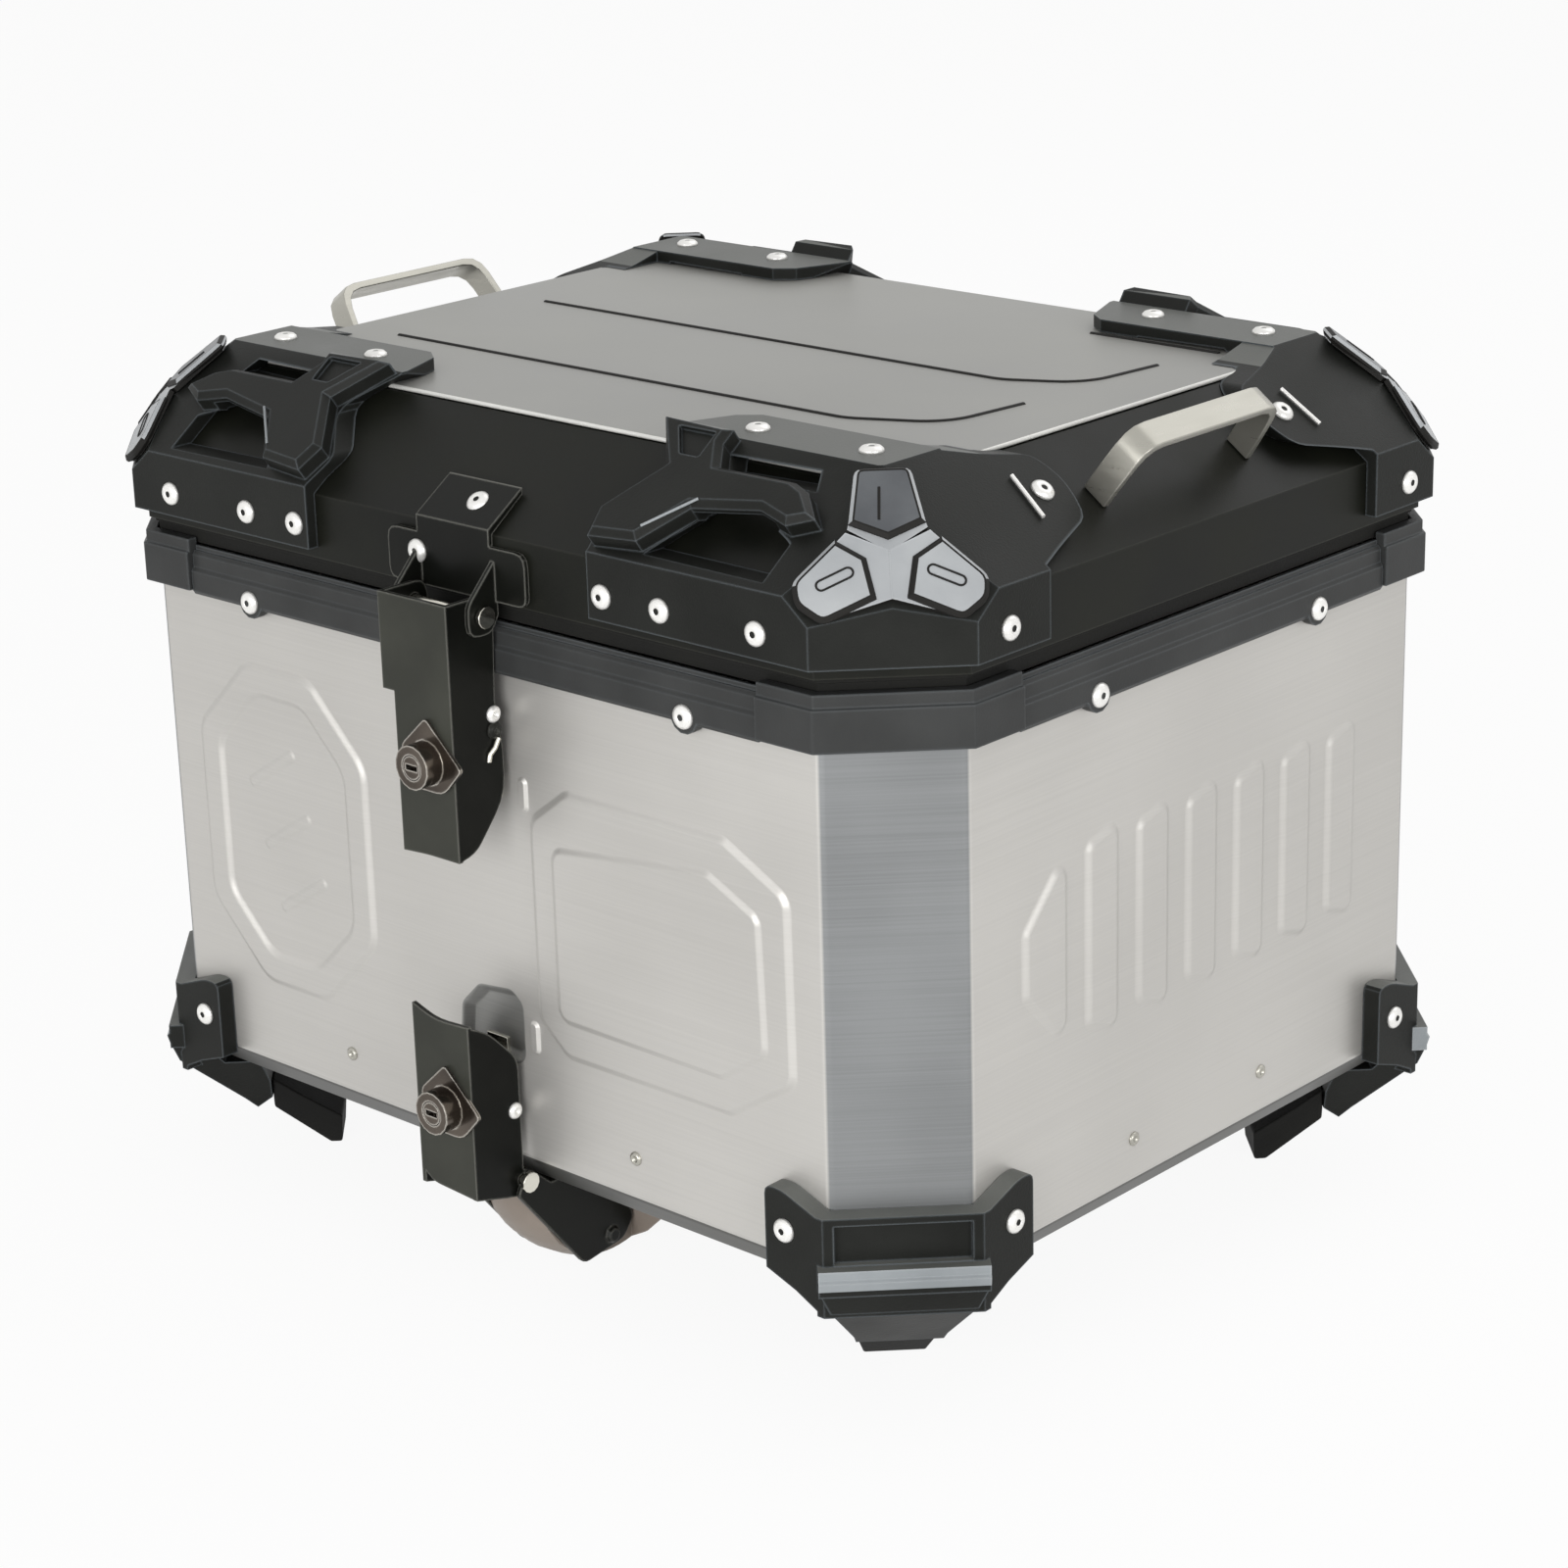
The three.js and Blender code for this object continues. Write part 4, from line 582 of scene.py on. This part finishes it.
def rounded(points, radius, closed=True, steps=6):
    """Outline or path whose corners become round arcs, smaller where an edge is short. Points
    nearer to each other than `CLOSEST` become one."""
    path = []
    count = len(points)
    for i, point in enumerate(points):
        corner = Vector(point)
        if not closed and i in (0, count - 1):
            path.append(corner)
            continue
        before, after = Vector(points[i - 1]) - corner, Vector(points[(i + 1) % count]) - corner
        bend = math.pi - before.angle(after)
        reach = min(radius * math.tan(bend / 2), before.length / 2, after.length / 2)
        arm = corner + before.normalized() * reach
        inward = (before.normalized() + after.normalized()).normalized()
        middle = corner + inward * reach / math.sin(bend / 2)
        way = math.copysign(1, after.x * before.y - after.y * before.x)
        for k in range(steps + 1):
            point = middle + Matrix.Rotation(way * bend * k / steps, 2) @ (arm - middle)
            if not path or (point - path[-1]).length > CLOSEST:
                path.append(point)
    if closed and (path[0] - path[-1]).length < CLOSEST:
        path.pop()
    return path


def cut_in(mesh, wall, outlines, matrix):
    """Cuts closed outlines into a flat face: returns the face inside each of them."""
    normal = wall.normal.copy()
    rim = wall.edges[:]
    bmesh.ops.delete(mesh, geom=[wall], context="FACES_ONLY")
    rings = []
    for outline in outlines:
        verts = [mesh.verts.new(matrix @ Vector((u, v, 0))) for u, v in outline]
        rings.append(verts)
        rim += [mesh.edges.new(pair) for pair in zip(verts, verts[1:] + verts[:1])]
    bmesh.ops.triangle_fill(mesh, use_beauty=True, use_dissolve=False, edges=rim, normal=normal)
    faces = [mesh.faces.new(verts) for verts in rings]
    mesh.normal_update()
    return faces


def press(mesh, face, height, width, steps=6):
    """Raises a face by `height`, or sinks it, over a soft slope of `width`, in small steps."""
    done = 0
    normal = face.normal.copy()
    for k in range(1, steps + 1):
        t = k / steps
        target = height * (3 * t ** 2 - 2 * t ** 3)
        bmesh.ops.inset_region(mesh, faces=[face], thickness=width / steps, depth=0,
                               use_even_offset=True)
        bmesh.ops.translate(mesh, vec=normal * (target - done), verts=face.verts[:])
        done = target


def wall_matrix(quarter, distance):
    """Places drawing coordinates, u along a wall and v upwards, on one of the four walls."""
    stand = Matrix.Rotation(math.radians(90), 4, "X")
    out = Matrix.Translation((0, -distance, 0))
    return Matrix.Rotation(math.radians(90 * quarter), 4, "Z") @ out @ stand


# %% Reliefs of the front: a panel in two steps, a ring with three bars, two beads and a pocket
# All in millimetres. A slope is the width over which a relief rises, and proud is its height.
PROUD = 1.5
SLOPE = 3.6
OUTER_PANEL = [
    (50, 155), (30, 140), (30, 60), (45, 47), (129, 47), (161, 67), (160, 139), (129, 155)]
INNER_PANEL = [(42, 132), (42, 62), (126, 61), (149, 76), (147, 129), (122, 141)]
INNER_PROUD, INNER_SLOPE = PROUD * 0.8, 3.2
RING_MIDDLE = Vector((-108, 103))
RING_HALF = Vector((50, 68))
RING_CORNER = 0.62
RING_ARC = 16
RING_BAND = 11.5
BAR_STEP = Vector((7, -25))
BAR_L, BAR_W, BAR_ANGLE = 34, 6, 32
BAR_PROUD, BAR_SLOPE = 0.7, 2.2
BEAD_X, BEAD_L, BEAD_W = 27.8, 14, 5.6
BEAD_HEIGHTS = (148, 51.5)
BEAD_PROUD, BEAD_SLOPE = 1.2, 1.6
POCKET = [(-14, 38), (22, 38), (22, 63), (16, 68), (-2, 66), (-12, 56)]
POCKET_DEPTH, POCKET_SLOPE = 3.6, 4.5


def ring(inset):
    """Long eight-sided outline round the ring's middle, anticlockwise."""
    x, z = RING_HALF.x - inset, RING_HALF.y - inset
    c = x * RING_CORNER
    points = [(x - c, -z), (x, c - z), (x, z - c), (x - c, z)]
    points += [(-px, -pz) for px, pz in points]
    return rounded([RING_MIDDLE + Vector(p) for p in points], RING_ARC)


def slot_outline(x, z, length, width, angle=0.0):
    """Long outline with round ends, anticlockwise."""
    half, side = length / 2, width / 2
    turned = Matrix.Rotation(math.radians(angle), 2)
    corners = [Vector(p) for p in ((-half, -side), (half, -side), (half, side), (-half, side))]
    return rounded([Vector((x, z)) + turned @ p for p in corners], side, steps=5)


front = facing(tub, (0, -1, 0))
at_front = wall_matrix(0, BODY_D / 2)
beads = [slot_outline(BEAD_X, z, BEAD_L, BEAD_W, 90) for z in BEAD_HEIGHTS]
outlines = [rounded(OUTER_PANEL, 9), ring(0), *beads, rounded(POCKET, 6)]
panel, band, *dashes, pocket = cut_in(tub, front, outlines, at_front)
for dash in dashes:
    press(tub, dash, BEAD_PROUD, BEAD_SLOPE, 4)
# The pocket's sunk faces take painted shade, a darker aluminium.
pocket.material_index = 2
press(tub, pocket, -POCKET_DEPTH, POCKET_SLOPE)
press(tub, panel, PROUD, SLOPE)
press(tub, band, PROUD, SLOPE)
raised_front = wall_matrix(0, BODY_D / 2 + PROUD)
inner, = cut_in(tub, panel, [rounded(INNER_PANEL, 7)], raised_front)
press(tub, inner, INNER_PROUD, INNER_SLOPE)
well, = cut_in(tub, band, [ring(RING_BAND)], raised_front)
press(tub, well, -PROUD, SLOPE)
middles = [RING_MIDDLE + BAR_STEP * i for i in (-1, 0, 1)]
bars = [slot_outline(*middle, BAR_L, BAR_W, BAR_ANGLE) for middle in middles]
for bar in cut_in(tub, well, bars, at_front):
    press(tub, bar, BAR_PROUD, BAR_SLOPE, 4)
print("front reliefs pressed, faces:", len(tub.faces))

# %% Reliefs of the sides: seven upright slats, the foremost one pointed like a chevron
SLATS = 7
SLAT_PITCH = 29.8
SLAT_W = 21
SLAT_SLOPE = 4
for quarter, mirror in ((1, 1), (3, -1)):
    quarter_turn = Matrix.Rotation(math.radians(90 * quarter), 3, "Z")
    side_wall = facing(tub, quarter_turn @ Vector((0, -1, 0)))
    outlines = []
    for i in range(SLATS):
        y = SLAT_PITCH * (i - (SLATS - 1) / 2)
        a, b = y - SLAT_W / 2, y + SLAT_W / 2
        slat = [(a, 69), (b, 63), (b, 147), (a, 142)]
        if i == 0:
            slat = [(a - 6, 92), (b, 63), (b, 147), (a - 6, 118)]
        outlines.append(rounded(slat if mirror == 1 else [(-u, v) for u, v in slat[::-1]], 6))
    for slat in cut_in(tub, side_wall, outlines, wall_matrix(quarter, BODY_W / 2)):
        press(tub, slat, PROUD, SLAT_SLOPE)
print("side reliefs pressed, faces:", len(tub.faces))

# %% The sheet gets its thickness, and its tucked foot, which looks down, a darker finish of painted shade
LOOKS_DOWN = -0.3
bmesh.ops.remove_doubles(tub, verts=tub.verts, dist=0.001)
bmesh.ops.recalc_face_normals(tub, faces=tub.faces)
if facing(tub, (0, 0, -1)).calc_center_median().z > 0:
    bmesh.ops.reverse_faces(tub, faces=tub.faces)
ways = [[v.co[k] for v in tub.verts] for k in range(3)]
span = [round(max(values) - min(values), 2) for values in ways]
print("tub span in mm:", span, "edges of the open top:", sum(1 for e in tub.edges if e.is_boundary))
bmesh.ops.transform(tub, matrix=to_scene, verts=tub.verts)
tub.normal_update()
# Faces of the tucked foot that look down take painted shade.
for face in tub.faces:
    if face.normal.z < LOOKS_DOWN and face.calc_center_median().z < shift.z:
        face.material_index = 1
keep(tub, "pressed_tub", [tub_metal, foot_shade_metal, pocket_shade_metal], "body_aluminium", BODY,
     "body_shell", wall=SHEET * MM)

# %% [markdown]
# ## Rounding the edges
# A CAD solid has perfectly sharp edges, and sharp edges look false because nothing catches the
# light along them. The other pieces are copies of their CAD solids: loose triangles are merged,
# flat faces are made whole, and every sharp edge gets a narrow bevel.

# %% Copy a CAD node and bevel its sharp edges
def whole(node):
    """A CAD node's mesh, in metres, with its triangles merged into whole flat faces."""
    mesh = bmesh.new()
    mesh.from_mesh(frame["nodes"][node].data)
    bmesh.ops.remove_doubles(mesh, verts=mesh.verts, dist=2e-6)
    bmesh.ops.dissolve_limit(mesh, angle_limit=math.radians(1.5), verts=mesh.verts,
                             edges=mesh.edges, use_dissolve_boundaries=False, delimit=set())
    return mesh


def soften(mesh, width, sharp=32, segments=2):
    """Bevels the edges that turn more than `sharp` degrees. `width` is in millimetres."""
    edges = [e for e in mesh.edges if e.is_manifold and e.calc_face_angle(0) > math.radians(sharp)]
    bmesh.ops.bevel(mesh, geom=edges, offset=width * MM, offset_type="OFFSET", affect="EDGES",
                    segments=segments, profile=0.5, material=-1, clamp_overlap=True)
    bmesh.ops.remove_doubles(mesh, verts=mesh.verts, dist=1e-6)


def finished(node, finish, slot, width, sharp=32, segments=2, tones=None):
    """Rounded copy of a CAD node, riding on the node's body. `tones` gives the number of a face's
    finish from its middle, in measured millimetres, and its normal."""
    mesh = whole(node)
    if tones:
        mesh.normal_update()
        for face in mesh.faces:
            middle = to_scene.inverted() @ face.calc_center_median()
            face.material_index = tones(middle, face.normal)
    soften(mesh, width, sharp, segments)
    keep(mesh, node + "_finished", finish, slot, frame["nodes"][node]["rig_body"], node)


# %% Which faces of a copy take another finish
BAR_FROM_X = 197
BAR_LOW, BAR_HIGH = -1, 5.5
LEDGE_FROM_Z = 5
ROOF_FROM_Z = 280


def lower_guard_tones(middle, normal):
    """The bar across a lower guard's corner takes a painted highlight, and its ledges a fainter
    one.
    """
    cornerwise = abs(abs(normal.x) - abs(normal.y)) < 0.05 and abs(middle.x) > BAR_FROM_X
    if BAR_LOW < middle.z < BAR_HIGH and cornerwise and -0.3 < normal.z < 0.8:
        return 1
    return 2 if normal.z > 0.9 and middle.z > LEDGE_FROM_Z else 0


def upper_guard_tones(middle, normal):
    """An upper guard's flat flange on the roof takes a painted sheen, lighter than its slopes."""
    return int(normal.z > 0.97 and middle.z > ROOF_FROM_Z)


def latch_tones(middle, normal):
    """A latch's front web takes a painted highlight: a lighter copy of the paint than its flanges.
    """
    return int(normal.y < -0.9)


# %% All copies
CORNERS = ("front_right", "front_left", "rear_right", "rear_left")
GUARD_FINISHES = [black_plastic, highlight_plastic, flange_sheen_plastic]

finished("lid_shell", lid_paint, "lid_paint", 1.2, sharp=24, segments=3)
for side in ("rear", "front", "left", "right"):
    finished(f"rim_strip_{side}", rim_plastic, "black_plastic", 0.5)
for corner in CORNERS:
    finished(f"rim_corner_{corner}", rim_plastic, "black_plastic", 1.0, segments=3)
    finished(f"lower_guard_{corner}", GUARD_FINISHES, "black_plastic", 0.7, tones=lower_guard_tones)
    finished(f"foot_pad_{corner}", rubber, "rubber", 1.0, segments=3)
    finished(f"upper_guard_{corner}", [black_plastic, flange_sheen_plastic], "black_plastic", 0.8,
             sharp=28, tones=upper_guard_tones)
for node in ("upper_hasp", "lower_hasp"):
    finished(node, [latch_paint, latch_front_highlight], "black_steel", 0.45, tones=latch_tones)
for node in ("upper_bracket", "lower_bracket"):
    finished(node, latch_paint, "black_steel", 0.45)
for node in ("hinge_leaf_body", "hinge_leaf_lid"):
    finished(node, latch_paint, "black_steel", 0.3)
for node in ("upper_latch_pin", "lower_latch_pin", "hinge_pin", "upper_striker", "lower_striker"):
    finished(node, bright_steel, "polished_steel", 0.3)
for node in ("handle_right", "handle_left"):
    finished(node, handle_steel, "polished_steel", 0.5)
for node in ("upper_lock_barrel", "lower_lock_barrel", "upper_lock_plug", "lower_lock_plug"):
    finished(node, chrome, "polished_steel", 0.4)
finished("release_dish", dish_paint, "dish_cover", 0.5)
finished("floor_mat", rubber, "rubber", 0.4)
finished("lid_seal", rubber, "rubber", 0.4)

# %% [markdown]
# ## The roof panel
# The lid's flat top is a lighter sheet with long pressed lines, which the eye reads as thin dark
# strokes. The panel is a cut block whose rounded edges take a painted highlight, brighter than its
# top, and each line is a thin dark bead of painted shade along a curve, half sunk in the sheet.

# %% Panel
PANEL_W, PANEL_D = 338.6, 256.6
PANEL_LOW, PANEL_HIGH = 277.6, 279.6
PANEL_CUT = 6
panel_low, panel_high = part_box("top_panel")
roof = cut_block(PANEL_W, PANEL_D, PANEL_LOW, PANEL_HIGH, PANEL_CUT)
bmesh.ops.transform(roof, matrix=to_scene, verts=roof.verts)
soften(roof, 1.1, sharp=24, segments=3)
roof.normal_update()
# The rounded edges, which don't look straight up or down, take the painted highlight.
for face in roof.faces:
    face.material_index = int(abs(face.normal.z) < 0.9)
keep(roof, "roof_panel", [panel_metal, edge_highlight_metal], "panel_aluminium", LID, "top_panel")
print("CAD panel in mm:", [round(v / MM, 1) for v in panel_high - panel_low])


# %% Thin round bead along a path
def bead(mesh, path, radius, closed=False, sides=6):
    """Adds a round bead along a path of points in millimetres."""
    curve = bpy.data.curves.new("bead", "CURVE")
    curve.dimensions = "3D"
    curve.bevel_depth = radius
    curve.bevel_resolution = sides // 2
    curve.use_fill_caps = not closed
    spline = curve.splines.new("POLY")
    spline.points.add(len(path) - 1)
    for point, target in zip(spline.points, path):
        point.co = (*target, 1)
    spline.use_cyclic_u = closed
    holder = bpy.data.objects.new("bead", curve)
    made = bpy.data.meshes.new_from_object(holder)
    mesh.from_mesh(made)
    bpy.data.objects.remove(holder)
    bpy.data.curves.remove(curve)
    bpy.data.meshes.remove(made)


# A line's axis lies this share of its radius below the top of the sheet.
LINE_R = 1.3
LINE_SUNK = 0.45
LINE_ARC = 22
LINES = [
    [(-139, -68), (100, -68), (134, -52), (138, -13)],
    [(-137, 12), (107, 12), (136, 26), (140, 65)],
    [(85, 95), (147, 95)],
]
# Each line is painted shade for a pressed groove: a dark bead, not a groove in the sheet.
lines = bmesh.new()
for points in LINES:
    flat = rounded(points, LINE_ARC, closed=False, steps=8)
    bead(lines, [(p.x, p.y, PANEL_HIGH - LINE_R * LINE_SUNK) for p in flat], LINE_R)
bmesh.ops.transform(lines, matrix=to_scene, verts=lines.verts)
keep(lines, "roof_lines", shade_line, "panel_aluminium", LID)

# %% [markdown]
# ## Corner trims
# Each upper guard carries a badge of three plates round a Y. The plates are the same lacquered
# moulding, but the one on top catches less light, so its faces take a second material with painted
# shade that makes it darker. The sides and a narrow rim of each plate are dark, painted shade that
# draws the gaps between them. Every plate has a narrow slot for a clip, drawn as a thin dark bead
# of painted shade in its surface.

# %% Trims: a face belongs to the plate whose direction it shares, the top one first
PLATE_WAYS = [Vector(way).normalized() for way in (
    (0.43, 0.43, 0.79), (0.485, 0.649, 0.586), (0.649, 0.485, 0.586))]
ON_A_PLATE, ON_TOP_PLATE = 0.96, 0.99
PLATE_AREA = 300 * MM ** 2
PLATE_RIM = 0.7 * MM
for corner in CORNERS:
    node = f"corner_trim_{corner}"
    mesh = whole(node)
    mesh.normal_update()
    likeness = {}
    for face in mesh.faces:
        way = Vector((abs(face.normal.x), abs(face.normal.y), face.normal.z))
        likeness[face] = [way.dot(plate) for plate in PLATE_WAYS]
        # Faces on no plate, the plates' sides, take painted shade for the gaps.
        face.material_index = 0 if max(likeness[face]) > ON_A_PLATE else 2
    plates = [f for f in mesh.faces if f.normal.z > 0.5 and f.calc_area() > PLATE_AREA]
    for face in plates:
        # The top plate takes the copy with painted shade, and each plate's inset rim painted shade.
        face.material_index = int(likeness[face][0] > ON_TOP_PLATE)
        inset = bmesh.ops.inset_region(mesh, faces=[face], thickness=PLATE_RIM, depth=0,
                                       use_even_offset=True)
        for strip in inset["faces"]:
            strip.material_index = 2
    soften(mesh, 0.35, sharp=28)
    keep(mesh, node + "_finished", [tile_lacquer, top_plate_shade_lacquer, shade_line], "trim_tile",
         frame["nodes"][node]["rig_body"], node)

# %% Clip slots: a capsule on each lower plate and a short stroke on the top one
# They are measured on the front right trim. Its two lower plates mirror each other, which swaps x
# and y but for the difference between the case's width and its depth. Each flip takes that corner
# to one of the four.
LEFT_SLOT = [Vector((177.7, -171.8, 253.6)), Vector((185.0, -161.8, 258.6))]
LEFT_WAY = (0.4851, -0.6494, 0.5856)
TOP_SLOT = [Vector((176.3, -137.8, 280.6)), Vector((183.2, -146.0, 272.3))]
TO_RIGHT = Matrix(((0, -1, 0), (-1, 0, 0), (0, 0, 1)))
SWAP_SHIFT = Vector(((BODY_W - BODY_D) / 2, (BODY_W - BODY_D) / 2, 0))
SLOT_W = 3.6
SLOT_LINE, STROKE_LINE = 0.4, 0.5
MIRRORS = [(sx, sy) for sx in (1, -1) for sy in (1, -1)]
FLIPS = [Matrix.Diagonal((sx, sy, 1)) for sx, sy in MIRRORS]


def capsule(ends, normal, width):
    """Closed path with round ends along the line between two points of a plane."""
    start, end = ends
    along = (end - start).normalized()
    across = Vector(normal).normalized().cross(along)
    middle, length = (start + end) / 2, (end - start).length
    to_plane = Matrix((along, across, along.cross(across))).transposed()
    return [middle + to_plane @ p.to_3d() for p in slot_outline(0, 0, length, width)]


left_slot = capsule(LEFT_SLOT, LEFT_WAY, SLOT_W)
# The slots are painted shade: dark beads, not cuts in the plates.
slots = bmesh.new()
for flip in FLIPS:
    bead(slots, [flip @ p for p in left_slot], SLOT_LINE, closed=True)
    bead(slots, [flip @ (TO_RIGHT @ p + SWAP_SHIFT) for p in left_slot], SLOT_LINE, closed=True)
    bead(slots, [flip @ p for p in TOP_SLOT], STROKE_LINE)
bmesh.ops.transform(slots, matrix=to_scene, verts=slots.verts)
keep(slots, "trim_slots", shade_line, "trim_tile", LID)

# %% Thin raised strokes on each guard: a bright one by the slope rivet, and a grey one on the bridge, a painted highlight
for name, ends, radius, finish in (
    ("slope_strokes", ((186.5, -79.9, 274.2), (202.5, -82.4, 262.6)), 0.8, rivet_steel),
    ("bridge_highlight_strokes", ((98.5, -173.5, 262.4), (114, -160.7, 271.7)), 0.5, highlight_plastic),
):
    strokes = bmesh.new()
    for flip in FLIPS:
        bead(strokes, [flip @ Vector(p) for p in ends], radius)
    bmesh.ops.transform(strokes, matrix=to_scene, verts=strokes.verts)
    keep(strokes, name, finish, "trim_tile", LID)

# %% [markdown]
# ## Rivets and screws
# Bright pull rivets hold every black piece. A rivet head is a low dome with a small pit, where its
# mandrel broke off. The dome is one profile spun round its axis, and the same profile is used at
# every measured place, merged into one piece for each body that carries them.

# %% Turned shapes, from the profiles of a rivet's and a screw's head
RIVET = (
    (0, 0.4), (0.8, 0.4), (1.0, 1.7), (2.1, 2.2), (3.4, 1.8), (4.4, 0.9), (4.7, -0.6), (0, -0.6))
SCREW = ((0, 0.4), (1.0, 0.4), (1.1, 0.9), (1.9, 1.1), (2.7, 0.5), (2.8, -0.5), (0, -0.5))


def turned(mesh, profile, centre, axis, steps=20):
    """Adds a solid spun round an axis. `profile` lists radius and height, from the top down."""
    centre, axis = Vector(centre), Vector(axis).normalized()
    side = axis.orthogonal().normalized()
    verts = [mesh.verts.new(centre + side * r + axis * h) for r, h in profile]
    edges = [mesh.edges.new(pair) for pair in zip(verts, verts[1:])]
    bmesh.ops.spin(mesh, geom=verts + edges, cent=centre, axis=axis, dvec=(0, 0, 0),
                   angle=math.tau, steps=steps, use_merge=True)


def heads(name, profile, places, body, finish=rivet_steel):
    """One piece made of turned heads. `places` lists each centre and the way it faces."""
    mesh = bmesh.new()
    for centre, axis in places:
        turned(mesh, profile, centre, axis)
    bmesh.ops.remove_doubles(mesh, verts=mesh.verts, dist=0.001)
    bmesh.ops.recalc_face_normals(mesh, faces=mesh.faces)
    bmesh.ops.transform(mesh, matrix=to_scene, verts=mesh.verts)
    keep(mesh, name, finish, "polished_steel", body)


# %% Places on the lid, the rims and the walls, mirrored to all four corners, and two on the latch
# The guards' and the rims' faces stand this far out from the tub's walls, and a row is a height.
GUARD_FACE = 8
RIM_FACE = 4.5
SLOPE_TILT = 0.7226
FLANGE_TOP = 285
SKIRT_ROW, RIM_ROW, GUARD_ROW, SCREW_ROW = 234.7, 196.7, 15.1, 16.5
lid_places, body_places, wall_places = [], [], []
for sx, sy in MIRRORS:
    half_w, half_d = BODY_W / 2, BODY_D / 2
    to_side, to_front = (sx, 0, 0), (0, sy, 0)
    guard_x, guard_y = sx * (half_w + GUARD_FACE), sy * (half_d + GUARD_FACE)
    for x in (81.3, 109.3, 154.3):
        lid_places.append(((sx * x, guard_y, SKIRT_ROW), to_front))
    lid_places.append(((guard_x, sy * 119.8, SKIRT_ROW), to_side))
    for x in (100.3, 153.3):
        lid_places.append(((sx * x, sy * 115, FLANGE_TOP), (0, 0, 1)))
    lid_places.append(((sx * 193.1, sy * 71.3, 268), (sx * SLOPE_TILT, 0, 1)))
    body_places.append(((sx * 115.5, sy * (half_d + RIM_FACE), RIM_ROW), to_front))
    body_places.append(((sx * (half_w + RIM_FACE), sy * 66.5, RIM_ROW), to_side))
    body_places.append(((sx * 159.5, guard_y, GUARD_ROW), to_front))
    body_places.append(((guard_x, sy * 119.8, GUARD_ROW), to_side))
    wall_places.append(((sx * 78.4, sy * half_d, SCREW_ROW), to_front))
    wall_places.append(((sx * half_w, sy * 40, SCREW_ROW), to_side))
lid_places += [((-16, -174.3, 234.5), (0, -1, 0)), ((7, -164.3, 254.3), (0, -SLOPE_TILT, 1))]
heads("rivets_lid", RIVET, lid_places, LID)
heads("rivets_body", RIVET, body_places, BODY)
heads("wall_screws", SCREW, wall_places, BODY, handle_steel)
print("rivets:", len(lid_places) + len(body_places))

# %% [markdown]
# ## Small parts of the latches
# The hasps' right flanges carry a bright rivet each. Below its rivet the upper one has a small
# black knob and a bright wire hook.

# %% Hasp rivets, knob and hook
UPPER_HASP = frame["nodes"]["upper_hasp"]["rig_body"]
LOWER_HASP = frame["nodes"]["lower_hasp"]["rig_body"]
SMALL = tuple((r * 0.72, h * 0.8) for r, h in RIVET)
heads("upper_hasp_rivet", SMALL, [((22, -176.5, 179.8), (1, 0, 0))], UPPER_HASP)
heads("upper_hasp_knob", SMALL, [((22, -176.5, 173.6), (1, 0, 0))], UPPER_HASP, latch_paint)
HOOK = [(23, -175.4, 170.6), (23, -177.6, 167.2), (22.8, -179.8, 165.4), (22.6, -180.4, 162.6)]
hook = bmesh.new()
bead(hook, HOOK, 1.1)
bmesh.ops.transform(hook, matrix=to_scene, verts=hook.verts)
keep(hook, "upper_hasp_hook", bright_steel, "polished_steel", UPPER_HASP)
heads("lower_hasp_rivet", SMALL, [((21, -175.4, 22), (1, 0, 0))], LOWER_HASP)
print("latch bodies:", UPPER_HASP, LOWER_HASP)
